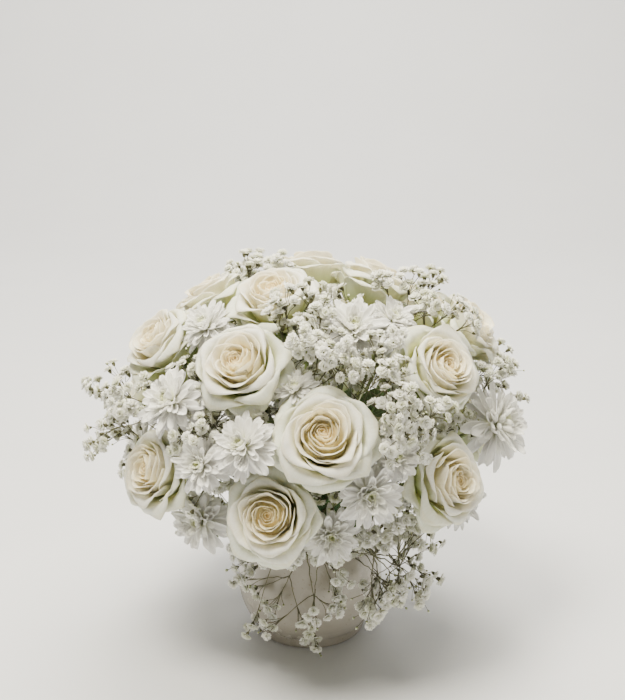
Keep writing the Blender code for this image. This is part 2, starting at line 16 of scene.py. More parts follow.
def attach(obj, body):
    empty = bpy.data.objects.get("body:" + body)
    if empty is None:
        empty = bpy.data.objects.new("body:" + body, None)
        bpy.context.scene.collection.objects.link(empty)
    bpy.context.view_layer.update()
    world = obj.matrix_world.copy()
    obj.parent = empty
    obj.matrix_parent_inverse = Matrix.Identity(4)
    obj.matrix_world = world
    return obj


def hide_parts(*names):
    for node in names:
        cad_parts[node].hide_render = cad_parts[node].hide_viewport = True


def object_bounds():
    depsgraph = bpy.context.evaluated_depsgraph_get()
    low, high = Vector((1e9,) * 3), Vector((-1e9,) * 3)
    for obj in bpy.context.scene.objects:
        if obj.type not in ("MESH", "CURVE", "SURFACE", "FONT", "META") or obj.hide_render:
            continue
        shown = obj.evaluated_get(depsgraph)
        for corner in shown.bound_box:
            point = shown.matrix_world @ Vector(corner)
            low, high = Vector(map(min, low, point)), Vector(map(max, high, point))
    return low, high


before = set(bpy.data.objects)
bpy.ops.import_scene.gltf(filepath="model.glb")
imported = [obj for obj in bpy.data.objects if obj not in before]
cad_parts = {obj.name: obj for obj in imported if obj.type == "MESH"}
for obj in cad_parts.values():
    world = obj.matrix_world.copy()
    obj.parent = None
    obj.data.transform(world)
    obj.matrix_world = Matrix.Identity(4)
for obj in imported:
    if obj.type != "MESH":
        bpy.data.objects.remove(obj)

MM = 0.001

# ---------------------------------------------------------------- dimensions
BOWL_H = 98 * MM          # height of the rim
FOOT_R = 43.7 * MM        # radius of the foot
BELLY_R = 58.0 * MM       # widest radius of the bowl
RIM_R = 51.5 * MM         # outside radius of the rim
WALL = 4.0 * MM           # wall thickness

FOAM_R = 44.0 * MM        # floral foam, pushed down into the bowl
FOAM_Z0 = 14.0 * MM
FOAM_Z1 = 117.0 * MM
STEM_C = Vector((0, 0, 92 * MM))   # the point in the foam that stems aim at
STEM_IN = 21 * MM         # how near to that point the stems end
CHANNEL_GAP = 0.45 * MM   # clearance between a stem and its channel

DOME_C = Vector((0, 0, 191 * MM))  # the dome of flower faces
DOME_A = 150 * MM         # half width
DOME_B = 112 * MM         # half height

ROSE_STEM_R = 2.5 * MM
MUM_STEM_R = 1.7 * MM
TWIG_R = 0.75 * MM
HUB_R = 1.5 * MM          # the knots where its twigs branch
CLUMP_R = 6.0 * MM        # a tuft of baby's breath florets

# name, azimuth, elevation, sink mm, face azimuth, face elevation, radius mm, spin
ROSES = [
    ("rose_01", 4, 42, 2, 2, 34, 35.0, 20),
    ("rose_02", -12, 25, 2, -12, 18, 33.5, 75),
    ("rose_03", -27, 56, 2, -22, 44, 33.5, 130),
    ("rose_04", -38, 77, 2, -30, 66, 34.0, 10),
    ("rose_05", -77, 53, 1, -64, 42, 31.0, 200),
    ("rose_06", -56, 28, 2, -50, 20, 32.0, 95),
    ("rose_07", 51, 51.5, 0, 40, 38, 32.5, 305),
    ("rose_08", 47, 28, 2, 46, 20, 33.0, 160),
    ("rose_09", 89, 52.5, -7, 82, 40, 33.0, 45),
    ("rose_10", 112, 74, 2, 130, 60, 34.0, 260),
    ("rose_11", 180, 73, 2, 170, 68, 33.5, 330),
    ("rose_12", 150, 51, 3, 150, 46, 33.0, 15),
    ("rose_13", -164, 50, 3, -162, 46, 33.0, 285),
    ("rose_14", -128, 52, 3, -126, 46, 32.5, 110),
    ("rose_15", 104, 27, 3, 104, 22, 32.5, 65),
    ("rose_16", 172, 25, 3, 172, 20, 32.5, 230),
    ("rose_17", -102, 66, 3, -104, 58, 30.5, 175),
    ("rose_18", -114, 35, 3, -114, 28, 31.5, 320),
    ("rose_19", 120, 55, 4, 120, 48, 30.5, 60),
]
ROSE_DEPTH = 1.24         # bloom height over bloom radius

# name, azimuth, elevation, sink mm, face azimuth, face elevation, radius mm, spin
MUMS = [
    ("chrysanthemum_01", -20, 40, 4, -32, 34, 20.5, 0),
    ("chrysanthemum_02", -33, 34, 5, -32, 22, 18.0, 14),
    ("chrysanthemum_03", -42, 18, 3, -34, 10, 21.0, 31),
    ("chrysanthemum_04", -60, 63, 6, -52, 56, 18.5, 8),
    ("chrysanthemum_05", -49, 45, 3, -46, 40, 22.0, 22),
    ("chrysanthemum_06", 22, 66, 3, 12, 54, 21.0, 3),
    ("chrysanthemum_07", 49, 66.5, 5, 42, 58, 16.5, 17),
    ("chrysanthemum_08", 77, 32, -7, 54, 24, 27.5, 12),
    ("chrysanthemum_09", 17, 29, 3, 16, 8, 20.0, 27),
    ("chrysanthemum_10", 72, 16, -5, 58, 6, 22.0, 5),
    ("chrysanthemum_11", 7, 19, 5, 8, 10, 17.5, 40),
    ("chrysanthemum_12", -103, 50, 3, -100, 42, 17.5, 19),
    ("chrysanthemum_13", -139, 30, 2, -138, 24, 23.5, 25),
    ("chrysanthemum_14", -91, 25, 3, -94, 18, 21.5, 33),
    ("chrysanthemum_15", 137, 25, 2, 137, 20, 22.5, 11),
    ("chrysanthemum_16", -6, 55, 21, -6, 48, 14.0, 36),
    ("chrysanthemum_17", 130, 39, 3, 130, 32, 23.5, 3),
    ("chrysanthemum_18", 154, 33, 3, 154, 28, 23.5, 21),
    ("chrysanthemum_19", 174, 42, 3, 174, 38, 23.0, 16),
    ("chrysanthemum_20", 88, 17, 9, 88, 10, 19.5, 29),
    ("chrysanthemum_21", -166, 33, 3, -166, 28, 24.0, 7),
    ("chrysanthemum_22", -120, 18, 3, -120, 12, 22.0, 38),
    ("chrysanthemum_23", -148, 16, 3, -148, 10, 23.0, 13),
    ("chrysanthemum_24", 150, 15, 3, 150, 8, 22.5, 30),
    ("chrysanthemum_25", 123, 15, 3, 123, 8, 22.0, 4),
    ("chrysanthemum_26", 26, 37, 10, 24, 32, 14.5, 24),
]
MUM_DEPTH = 0.86          # head height over head radius


# name, azimuth, elevation, distance of the tip as a share of the dome's, length mm, half width mm, roll
LEAVES = [
    ("leaf_01", 14, 54, 0.90, 46, 11.5, 25),
    ("leaf_02", 31, 54, 0.88, 44, 11.0, -35),
    ("leaf_03", -152, 38, 0.90, 44, 11.0, 20),
]


# ------------------------------------------------------------------ geometry
def heading(az, el):
    a, e = math.radians(az), math.radians(el)
    return Vector((math.sin(a) * math.cos(e), -math.cos(a) * math.cos(e), math.sin(e)))


def dome_point(direction, origin=STEM_C):
    """Where a line from the foam leaves the dome."""
    s = Vector((1 / DOME_A, 1 / DOME_A, 1 / DOME_B))
    o, d = (origin - DOME_C) * s, direction * s
    a, b, c = d.dot(d), 2 * o.dot(d), o.dot(o) - 1
    return origin + direction * ((-b + math.sqrt(b * b - 4 * a * c)) / (2 * a))


def frame_of(axis, spin):
    """Rotation whose +Z is axis, turned about it by spin degrees."""
    z = axis.normalized()
    up = Vector((0, 0, 1)) if abs(z.z) < 0.95 else Vector((0, 1, 0))
    x = up.cross(z).normalized()
    y = z.cross(x)
    turn = Matrix(((x.x, y.x, z.x), (x.y, y.y, z.y), (x.z, y.z, z.z)))
    return (turn @ Matrix.Rotation(math.radians(spin), 3, "Z")).to_4x4()


def placed(row, depth):
    """(base point, axis, radius, height, spin) of a flower in the table."""
    _, az, el, sink, faz, fel, radius, spin = row
    r = radius * MM
    out = heading(az, el)
    axis = heading(faz, fel)
    face = dome_point(out) - out * (sink * MM)
    h = r * depth
    return face - axis * (h * 0.9), axis, r, h, spin


def bezier(p0, p1, p2, p3, n):
    out = []
    for i in range(n + 1):
        t = i / n
        u = 1 - t
        out.append(p0 * (u ** 3) + p1 * (3 * u * u * t) + p2 * (3 * u * t * t) + p3 * (t ** 3))
    return out


def stem_line(row, depth, n=4):
    """Centre line of a flower's stem, from its cut end in the foam to the flower."""
    base, axis, _, _, _ = placed(row, depth)
    d = (base - STEM_C).normalized()
    start = STEM_C + d * STEM_IN
    length = (base - start).length
    return bezier(start, start + d * (length * 0.45), base - axis * (length * 0.22), base, n)


# --------------------------------------------------------- the flowers' space
def bloom_radius(share, kind):
    """Outer radius of a bloom, as a share of its full radius, at a share of its height."""
    pts = (
        [(0.0, 0.10), (0.07, 0.34), (0.28, 0.70), (0.58, 0.93), (0.84, 1.0), (1.02, 0.94)]
        if kind == "rose"
        else [(0.0, 0.16), (0.10, 0.50), (0.34, 0.92), (0.55, 1.0), (0.80, 0.82), (1.02, 0.35)]
    )
    if share <= pts[0][0]:
        return pts[0][1]
    for (a, ra), (b, rb) in zip(pts, pts[1:]):
        if share <= b:
            return ra + (rb - ra) * (share - a) / (b - a)
    return pts[-1][1]


def occupied():
    """Every bloom and every stem, as the baby's breath has to grow round them."""
    blooms, lines = [], []
    for rows, depth, kind, sr in (
        (ROSES, ROSE_DEPTH, "rose", ROSE_STEM_R),
        (MUMS, MUM_DEPTH, "mum", MUM_STEM_R),
    ):
        for row in rows:
            base, axis, r, h, _ = placed(row, depth)
            blooms.append((base, axis, r, h, kind))
            lines.append((stem_line(row, depth, 10), sr))
    for row in LEAVES:
        start, base, tip, _ = leaf_line(row)
        lines.append(([start, base], 0.9 * MM))
        lines.append(([base + (tip - base) * 0.25, base + (tip - base) * 0.8], row[5] * 0.8 * MM))
    return blooms, lines


def leaf_line(row):
    """Cut end of a leaf's stalk, foot of its blade, its tip and its heading."""
    _, az, el, share, length, _, _ = row
    out = heading(az, el)
    tip = STEM_C + (dome_point(out) - STEM_C) * share
    return STEM_C + out * (STEM_IN + 4 * MM), tip - out * (length * MM), tip, out


def near_segment(p, a, b):
    ab = b - a
    t = max(0.0, min(1.0, (p - a).dot(ab) / max(ab.length_squared, 1e-12)))
    return (p - (a + ab * t)).length


def bowl_outside(z):
    """Outside radius of the bowl at height z."""
    pts = BOWL_OUTER
    if z <= pts[0][1]:
        return pts[0][0]
    for (ra, za), (rb, zb) in zip(pts, pts[1:]):
        if z <= zb and zb > za:
            return ra + (rb - ra) * (z - za) / (zb - za)
    return 0.0


def is_free(p, margin, blooms, lines):
    """Whether a ball of radius margin at p is clear of the flowers and the bowl."""
    for base, axis, r, h, kind in blooms:
        d = p - base
        if d.length > r + h + margin:
            continue
        along = d.dot(axis)
        if -margin < along < h * 1.02 + margin:
            across = (d - axis * along).length
            share = max(0.0, min(1.0, along / h))
            if across < bloom_radius(share, kind) * r * 1.05 + margin * 1.15:
                return False
    for line, sr in lines:
        for a, b in zip(line, line[1:]):
            if near_segment(p, a, b) < sr + margin + 0.4 * MM:
                return False
    out = math.hypot(p.x, p.y)
    if p.z < BOWL_H + margin + 0.5 * MM and out < bowl_outside(p.z) + margin + 1.0 * MM:
        return False
    if p.z < margin + 1.0 * MM:
        return False
    return True


def path_free(a, b, margin, blooms, lines):
    n = max(3, int((b - a).length / (2.0 * MM)))
    return all(is_free(a + (b - a) * (i / n), margin, blooms, lines) for i in range(n + 1))


# name, azimuth, elevation, distance of the fork as a share of the dome's,
# azimuth spread, elevation spread, lift range mm, branches, tufts a branch, seed
SPRAYS = [
    ("babys_breath_01", -2, 62, 0.70, 22, 12, (-18, 8), 8, 4, 11),
    ("babys_breath_02", 26, 46, 0.70, 18, 14, (-20, 8), 8, 4, 5),
    ("babys_breath_03", 66, 63, 0.72, 32, 10, (-14, 12), 6, 4, 3),
    ("babys_breath_04", -69, 37, 0.66, 20, 15, (-14, 24), 8, 4, 17),
    ("babys_breath_05", 92, 37, 0.68, 18, 14, (-8, 24), 7, 4, 23),
    ("babys_breath_08", -140, 68, 0.68, 30, 14, (-18, 2), 7, 4, 41),
    ("babys_breath_09", -146, 43, 0.54, 24, 18, (-20, 12), 7, 4, 53),
    ("babys_breath_10", -37, 47, 0.50, 18, 14, (-34, 0), 7, 4, 61),
]
# name, fork point mm, azimuth range, height range mm, radius range mm, branches, tufts a branch, seed
HANGING = [
    ("babys_breath_06", (-3, -67, 100), (-40, 18), (16, 92), (68, 88), 7, 4, 29),
    ("babys_breath_07", (47, -88, 104), (20, 58), (56, 108), (80, 120), 5, 4, 37),
]


NUDGES = [(0, 0)] + [
    (size * math.cos(k * math.pi / 4) * 1.4, size * math.sin(k * math.pi / 4)) for size in (2, 4, 6, 8) for k in range(8)
]


def spray_plan():
    """{name: (stem line, fork, [(branch point, [tuft...])...])} for every spray."""
    blooms, lines = occupied()
    made, tufts = {}, []
    jobs = []
    for name, az, el, share, saz, sel, lift, branches, each, seed in SPRAYS:
        for turn, rise in NUDGES:
            out = heading(az + turn, el + rise)
            fork = STEM_C + (dome_point(out) - STEM_C) * share
            start = STEM_C + out * (STEM_IN + 9 * MM)
            if path_free(start, fork + out * (4 * MM), TWIG_R * 1.6 + 0.4 * MM, blooms, lines):
                break
        stem = [start + (fork - start) * (i / 2) for i in range(3)]

        def pick(rng, az=az, el=el, saz=saz, sel=sel, lift=lift):
            a, r = rng.uniform(0, 2 * math.pi), math.sqrt(rng.random())
            e = el + r * math.sin(a) * sel
            d = heading(az + r * math.cos(a) * saz, e)
            return dome_point(d) + d * (rng.uniform(*lift) * MM)

        jobs.append((name, stem, fork, pick, branches, each, seed, 0.50, 27))
    for name, fork_mm, azs, zs, rs, branches, each, seed in HANGING:
        fork = Vector(fork_mm) * MM
        d = Vector((fork.x, fork.y, 0)).normalized()
        start = Vector((d.x * 28 * MM, d.y * 28 * MM, 107.5 * MM))
        stem = bezier(start, start + d * (24 * MM), fork - d * (7 * MM) + Vector((0, 0, 9 * MM)), fork, 4)

        def pick(rng, azs=azs, zs=zs, rs=rs):
            t = rng.random()
            z = zs[0] + (zs[1] - zs[0]) * t
            return heading(rng.uniform(*azs), 0) * (rng.uniform(*rs) * MM) + Vector((0, 0, z * MM))

        jobs.append((name, stem, fork, pick, branches, each, seed, 0.52, 30))
    for name, stem, fork, pick, branches, each, seed, part, reach in jobs:
        rng = random.Random(seed)
        arms, own = [], [(stem[-2], stem[-1])]
        back = (stem[-2] - stem[-1]).normalized()
        for _ in range(branches * 60):
            if len(arms) >= branches:
                break
            aim = pick(rng)
            knot = fork + (aim - fork) * (part * rng.uniform(0.85, 1.15))
            d = (knot - fork).normalized()
            if d.dot(back) > -0.05 or (knot - fork).length < 12 * MM:
                continue
            if any(d.dot((k - fork).normalized()) > 0.80 for k, _ in arms):
                continue
            if not path_free(fork, knot, HUB_R + 0.4 * MM, blooms, lines):
                continue
            tips = []
            for _ in range(each * 30):
                if len(tips) >= each:
                    break
                tip = pick(rng)
                t = (tip - knot).normalized()
                if not 9 * MM + CLUMP_R < (tip - knot).length < reach * 2 * MM:
                    continue
                if t.dot(d) < 0.18 or any(t.dot((q - knot).normalized()) > 0.80 for q in tips):
                    continue
                if any((tip - q).length < 2 * CLUMP_R + 0.5 * MM for q in tufts + tips):
                    continue
                if not is_free(tip, CLUMP_R + 0.4 * MM, blooms, lines):
                    continue
                if not path_free(knot, tip, TWIG_R + 0.4 * MM, blooms, lines):
                    continue
                if any(segments_apart(knot + t * (4 * MM), tip, p, q) < 2 * TWIG_R + 0.6 * MM for p, q in own):
                    continue
                if any(near_segment(tip, p, q) < CLUMP_R + 1.0 * MM for p, q in own):
                    continue
                if near_segment(tip, fork, knot) < CLUMP_R + 1.2 * MM:
                    continue
                if any(near_segment(q, knot, tip) < CLUMP_R + TWIG_R + 0.5 * MM for q in tufts + tips):
                    continue
                tips.append(tip)
            if len(tips) < 2:
                continue
            if any(near_segment(q, fork, knot) < CLUMP_R + TWIG_R + 0.8 * MM for q in tufts):
                continue
            if any(segments_apart(fork + d * (6 * MM), knot, p, q) < HUB_R + TWIG_R + 0.6 * MM for p, q in own[1:] if p != fork):
                continue
            arms.append((knot, tips))
            tufts += tips
            own.append((fork, knot))
            own += [(knot, tip) for tip in tips]
        made[name] = (stem, fork, arms)
        lines.append((stem, TWIG_R * 1.6))
        for knot, tips in arms:
            lines.append(([fork, knot], HUB_R))
            for tip in tips:
                lines.append(([knot, tip], TWIG_R * 1.2))
    return made


def segments_apart(a, b, c, d, n=9):
    """Least distance between two segments, from points along the first."""
    return min(near_segment(a + (b - a) * (i / n), c, d) for i in range(n + 1))


# ---------------------------------------------------------------- the pieces
BOWL_OUTER = [
    (FOOT_R - 1.5 * MM, 0.0),
    (FOOT_R, 1.5 * MM),
    (FOOT_R, 7.0 * MM),
    (FOOT_R + 4.6 * MM, 12.0 * MM),
    (FOOT_R + 10.0 * MM, 21.0 * MM),
    (FOOT_R + 13.4 * MM, 32.0 * MM),
    (BELLY_R, 43.0 * MM),
    (BELLY_R - 0.6 * MM, 56.0 * MM),
    (BELLY_R - 2.6 * MM, 71.0 * MM),
    (BELLY_R - 5.2 * MM, 85.0 * MM),
    (RIM_R, BOWL_H - 2.0 * MM),
    (RIM_R - 1.2 * MM, BOWL_H),
]


# ------------------------------------------------------------- mesh building
class Sheets:
    """Gathers closed sheets, tubes and blobs into one mesh with its own maps."""

    def __init__(self):
        self.v, self.loops, self.totals, self.mats = [], [], [], []
        self.col, self.uv, self.puv = [], [], []
        self.count = 0
        self.cell = 0

    def add(self, v, loops, totals, mat, col, uv, puv):
        """uv and puv are per corner; uv is inside the unit square of its own cell."""
        self.v.append(v)
        self.loops.append(loops + self.count)
        self.totals.append(totals)
        self.mats.append(np.full(len(totals), mat, np.int32))
        self.col.append(col)
        self.uv.append((uv, self.cell))
        self.puv.append(puv)
        self.count += len(v)

    def next_cell(self):
        self.cell += 1

    def build(self, name, materials):
        me = bpy.data.meshes.new(name)
        v = np.concatenate(self.v).astype(np.float32)
        loops = np.concatenate(self.loops).astype(np.int32)
        totals = np.concatenate(self.totals).astype(np.int32)
        me.vertices.add(len(v))
        me.vertices.foreach_set("co", v.ravel())
        me.loops.add(len(loops))
        me.loops.foreach_set("vertex_index", loops)
        me.polygons.add(len(totals))
        starts = np.concatenate([[0], np.cumsum(totals)[:-1]]).astype(np.int32)
        me.polygons.foreach_set("loop_start", starts)
        me.polygons.foreach_set("material_index", np.concatenate(self.mats))
        me.polygons.foreach_set("use_smooth", np.ones(len(totals), bool))
        me.update(calc_edges=True)
        side = max(1, math.ceil(math.sqrt(max(c for _, c in self.uv) + 1)))
        parts = []
        for uv, c in self.uv:
            low = np.array([c % side, c // side], float)
            parts.append((low + 0.03 + 0.94 * uv) / side)
        layer = me.uv_layers.new(name="OFBake")
        layer.data.foreach_set("uv", np.concatenate(parts).astype(np.float32).ravel())
        petal = me.uv_layers.new(name="PetalUV")
        petal.data.foreach_set("uv", np.concatenate(self.puv).astype(np.float32).ravel())
        me.uv_layers.active = layer
        attr = me.color_attributes.new(name="petal", type="FLOAT_COLOR", domain="POINT")
        attr.data.foreach_set("color", np.concatenate(self.col).astype(np.float32).ravel())
        me.validate()
        ob = bpy.data.objects.new(name, me)
        bpy.context.scene.collection.objects.link(ob)
        for m in materials:
            me.materials.append(m)
        return ob


SHAPES = {}


def sheet_shape(nv, nu):
    """Corner tables of a closed sheet of nv by nu points, front and back."""
    if (nv, nu) in SHAPES:
        return SHAPES[nv, nu]
    idx = np.arange(nv * nu).reshape(nv, nu)
    back = nv * nu
    a, b, c, d = idx[:-1, :-1], idx[:-1, 1:], idx[1:, 1:], idx[1:, :-1]
    front = np.stack([a, b, c, d], -1).reshape(-1, 4)
    rear = np.stack([a, d, c, b], -1).reshape(-1, 4) + back
    rim = []
    for u in range(nu - 1):
        p, q = idx[0, u], idx[0, u + 1]
        rim.append((q, p, p + back, q + back))
        p, q = idx[-1, u], idx[-1, u + 1]
        rim.append((p, q, q + back, p + back))
    for v in range(nv - 1):
        p, q = idx[v, -1], idx[v + 1, -1]
        rim.append((q, p, p + back, q + back))
        p, q = idx[v, 0], idx[v + 1, 0]
        rim.append((p, q, q + back, p + back))
    rim = np.array(rim)
    faces = np.concatenate([front, rear, rim]).reshape(-1)
    uvi = np.concatenate([front.reshape(-1), rear.reshape(-1), (rim % back).reshape(-1)])
    uu, vv = np.meshgrid(np.linspace(0, 1, nu), np.linspace(0, 1, nv))
    uv_front = np.stack([uu * 0.47, vv], -1).reshape(-1, 2)
    uv_back = uv_front + [0.53, 0]
    uv = np.concatenate([uv_front, uv_back])[uvi]
    puv = np.concatenate([np.stack([uu, vv], -1).reshape(-1, 2)] * 2)[uvi]
    SHAPES[nv, nu] = faces, np.full(len(faces) // 4, 4), uv, puv
    return SHAPES[nv, nu]


def sheet(into, p, thick, mat, col):
    """Adds a closed sheet. p is (nv, nu, 3), its middle surface; thick is in metres;
    col is (nv, nu, 4)."""
    nv, nu = p.shape[:2]
    du = np.gradient(p, axis=1)
    dv = np.gradient(p, axis=0)
    n = np.cross(du, dv)
    n /= np.maximum(np.linalg.norm(n, axis=2, keepdims=True), 1e-12)
    t = np.full((nv, nu, 1), thick / 2)
    t[0], t[-1], t[:, 0], t[:, -1] = thick * 0.18, thick * 0.18, thick * 0.18, thick * 0.18
    v = np.concatenate([(p + n * t).reshape(-1, 3), (p - n * t).reshape(-1, 3)])
    faces, totals, uv, puv = sheet_shape(nv, nu)
    c = col.reshape(-1, 4)
    into.add(v, faces, totals, mat, np.concatenate([c, c]), uv, puv)


def np_tube(into, line, radii, n, mat, col, cap=True):
    """Adds a closed tube. line is (k, 3), radii (k,), col four numbers or (k, 4)."""
    line = np.asarray(line, float)
    k = len(line)
    tan = np.gradient(line, axis=0)
    tan /= np.maximum(np.linalg.norm(tan, axis=1, keepdims=True), 1e-12)
    x = np.cross(tan[0], [0.3, 0.9, 0.2])
    x /= np.linalg.norm(x)
    ang = np.linspace(0, 2 * math.pi, n, endpoint=False)
    rings = []
    for i in range(k):
        x = x - tan[i] * x.dot(tan[i])
        x /= np.linalg.norm(x)
        y = np.cross(tan[i], x)
        rings.append(line[i] + (np.outer(np.cos(ang), x) + np.outer(np.sin(ang), y)) * radii[i])
    v = np.concatenate(rings + [line[:1], line[-1:]])
    a = np.arange(n)
    b = (a + 1) % n
    quads = np.concatenate([np.stack([a + i * n, b + i * n, b + (i + 1) * n, a + (i + 1) * n], -1) for i in range(k - 1)])
    uvq = []
    for i in range(k - 1):
        u0, u1 = a / n, (a + 1) / n
        w0, w1 = np.full(n, 0.05 + 0.9 * i / (k - 1)), np.full(n, 0.05 + 0.9 * (i + 1) / (k - 1))
        uvq.append(np.stack([np.stack([u0, w0], -1), np.stack([u1, w0], -1), np.stack([u1, w1], -1), np.stack([u0, w1], -1)], 1))
    uvq = np.concatenate(uvq).reshape(-1, 2)
    low = np.stack([np.full(n, k * n), b, a], -1)
    top = np.stack([np.full(n, k * n + 1), a + (k - 1) * n, b + (k - 1) * n], -1)
    cu = np.stack([np.stack([(a + 0.5) / n, np.zeros(n)], -1), np.stack([(a + 1) / n, np.full(n, 0.04)], -1), np.stack([a / n, np.full(n, 0.04)], -1)], 1).reshape(-1, 2)
    tu = np.stack([np.stack([(a + 0.5) / n, np.ones(n)], -1), np.stack([a / n, np.full(n, 0.96)], -1), np.stack([(a + 1) / n, np.full(n, 0.96)], -1)], 1).reshape(-1, 2)
    loops = np.concatenate([quads.reshape(-1), low.reshape(-1), top.reshape(-1)])
    totals = np.concatenate([np.full(len(quads), 4), np.full(2 * n, 3)])
    uv = np.concatenate([uvq, cu, tu])
    col = np.asarray(col, float)
    if col.ndim == 1:
        col = np.tile(col, (k, 1))
    c = np.concatenate([np.repeat(col, n, 0), col[:1], col[-1:]])
    into.add(v, loops, totals, mat, c, uv, uv)


def smooth(x, a, b):
    t = np.clip((x - a) / (b - a), 0, 1)
    return t * t * (3 - 2 * t)


def mix(a, b, t):
    return a + (b - a) * t


# --------------------------------------------------------------------- roses
# petals of an open rose by layer: count, rim radius from and to, rim height from and to
# (shares of the bloom's radius and height), half angle from and to, p1 and p2 of the side
# curve as (radius, height), how far the rim rolls back
ROSE_LAYERS = [
    (8, 0.030, 0.160, 0.870, 0.925, 1.9, 1.35, None, None, 0.05),
    (6, 0.205, 0.330, 0.950, 0.990, 1.25, 1.15, None, None, 0.15),
    (4, 0.400, 0.450, 0.995, 0.985, 1.20, 1.12, (0.40, 0.05), (0.37, 0.84), 0.30),
    (4, 0.540, 0.610, 0.990, 0.955, 1.20, 1.08, (0.50, 0.02), (0.47, 0.86), 0.60),
    (4, 0.730, 0.810, 0.925, 0.875, 1.22, 1.10, (0.58, 0.00), (0.56, 0.90), 0.90),
    (5, 0.920, 1.010, 0.820, 0.700, 1.04, 0.92, (0.60, -0.02), (0.72, 0.82), 1.10),
    (5, 1.010, 1.090, 0.580, 0.420, 0.74, 0.62, (0.50, -0.04), (0.86, 0.62), 1.0),
]


def rose_local(R, H, seed, up):
    """Petal surfaces of a rose: a list of (points, colours), innermost first, in the
    bloom's own frame with its face towards +Z."""
    rng = np.random.default_rng(seed)
    nu, nv = 21, 19
    u = np.linspace(-1, 1, nu)[None, :]
    v = np.linspace(0, 1, nv)[:, None]
    out = []
    phi0 = rng.uniform(0, 6.28)
    tri = rng.uniform(0, 6.28, 3)
    shift = (rng.normal(0, 0.03, 2) + up * 0.085) * R
    for layer, (count, ra, rb, za, zb, wa, wb, c1, c2, rollk) in enumerate(ROSE_LAYERS):
        phi0 += rng.uniform(0.4, 1.0)
        for i in range(count):
            g = i / (count - 1)
            if layer <= 1:
                phi = phi0 + i * 2.39996 + rng.normal(0, 0.12)
            else:
                phi = phi0 + i * 2 * math.pi / count + rng.normal(0, 0.13)
            t = (ra + (rb - ra) * g) / 1.07
            r_rim = R * (ra + (rb - ra) * g) * (1 + rng.normal(0, 0.012 if layer == 0 else 0.024))
            z_rim = H * (za + (zb - za) * g + rng.normal(0, 0.007 if layer == 0 else 0.018))
            W = (wa + (wb - wa) * g ** 0.6) * (1 + rng.normal(0, 0.05))
            if c1 is None:
                p1 = ((0.13 + 0.62 * t) * R, (0.25 - 0.45 * t) * H)
                p2 = ((0.06 + 0.88 * t) * R, (0.72 + 0.22 * t) * H)
            else:
                p1 = (c1[0] * R, c1[1] * H)
                p2 = (c2[0] * R * (1 + rng.normal(0, 0.02)), c2[1] * H * (z_rim / H) / ((za + zb) / 2))
            p0 = ((0.04 + 0.04 * t) * R, 0.03 * H)
            pointed = (0.0, 0.02, 0.045, 0.065, 0.090, 0.100, 0.070)[layer]
            swirl = (0.020, 0.042, 0.050, 0.055, 0.050, 0.040, 0.030)[layer]
            slope = rng.normal(0, 0.016 if layer < 3 else 0.030) * H
            roll_here = rollk * (1.0 if layer < 3 else rng.uniform(0.55, 1.45))
            if layer >= 3:
                # the petals on the lower side open further and hang a little
                low = -(math.cos(phi) * up[0] + math.sin(phi) * up[1])
                r_rim = r_rim * (0.955 + 0.030 * low + rng.normal(0, 0.02))
                z_rim = z_rim - H * (0.015 * max(0.0, low) + 0.05 * rng.uniform() ** 2)
            ve = v * (1 - (0.06 + 0.20 * min(1.0, t * 1.3)) * np.abs(u) ** 2.3) * (1 + pointed * np.exp(-(np.abs(u) / 0.22) ** 1.4))
            q = 1 - ve
            r = q ** 3 * p0[0] + 3 * q * q * ve * p1[0] + 3 * q * ve * ve * p2[0] + ve ** 3 * r_rim
            z = q ** 3 * p0[1] + 3 * q * q * ve * p1[1] + 3 * q * ve * ve * p2[1] + ve ** 3 * z_rim
            # the rim rolls outwards and a little down, most at the sides of the outer petals
            roll = smooth(ve, 0.80, 1.03) ** 1.4 * (0.55 + 0.45 * smooth(np.abs(u), 0.1, 0.8))
            r = r + roll * R * 0.050 * roll_here
            z = z - roll * H * 0.085 * roll_here * roll_here
            side = smooth(np.abs(u), 0.55, 1.0) * smooth(ve, 0.40, 1.0)
            lean = np.where(u > 0, rng.uniform(0.2, 1.5), rng.uniform(0.2, 1.5))
            r = r + side * R * 0.035 * roll_here * lean
            z = z - side * H * 0.055 * roll_here * lean
            # each petal overlaps the next one round in a spiral
            r = r + R * swirl * u * smooth(ve, 0.05, 0.6)
            z = z + slope * u * smooth(ve, 0.4, 1.0)
            # the middle of the rim of an open petal comes to a folded tip
            tip = np.exp(-(np.abs(u) / 0.30) ** 1.3) * smooth(ve, 0.72, 1.02)
            r = r + R * 0.9 * pointed * tip * rng.uniform(0.4, 1.5)
            z = z - H * 0.5 * pointed * tip * rollk
            # slow waves and small creases
            ph = rng.uniform(0, 6.28, 5)
            amp = (0.004 + 0.014 * min(1.0, t * 1.2)) * R
            r = r + amp * smooth(ve, 0.3, 1.0) * (np.sin(2.1 * u * math.pi + ph[0]) + 0.45 * np.sin(4.9 * u * math.pi + ph[1]))
            z = z + 0.8 * amp * smooth(ve, 0.5, 1.0) * (np.sin(2.7 * u * math.pi + ph[2]) + 0.5 * np.sin(6.1 * u * math.pi + ph[3]))
            z = z + 0.6 * amp * np.sin(ve * 9 + u * 3 + ph[4]) * smooth(ve, 0.4, 0.8)
            r = r + 0.22 * amp * np.sin(8.3 * u * math.pi + 5 * ve + ph[3]) * smooth(ve, 0.45, 1.0)
            # a shallow fold down the middle
            r = r - R * 0.020 * t * np.exp(-(u / 0.13) ** 2) * smooth(ve, 0.35, 0.95)
            a = phi + u * W * (0.28 + 0.72 * np.sin(np.minimum(ve / 0.60, 1) * math.pi / 2))
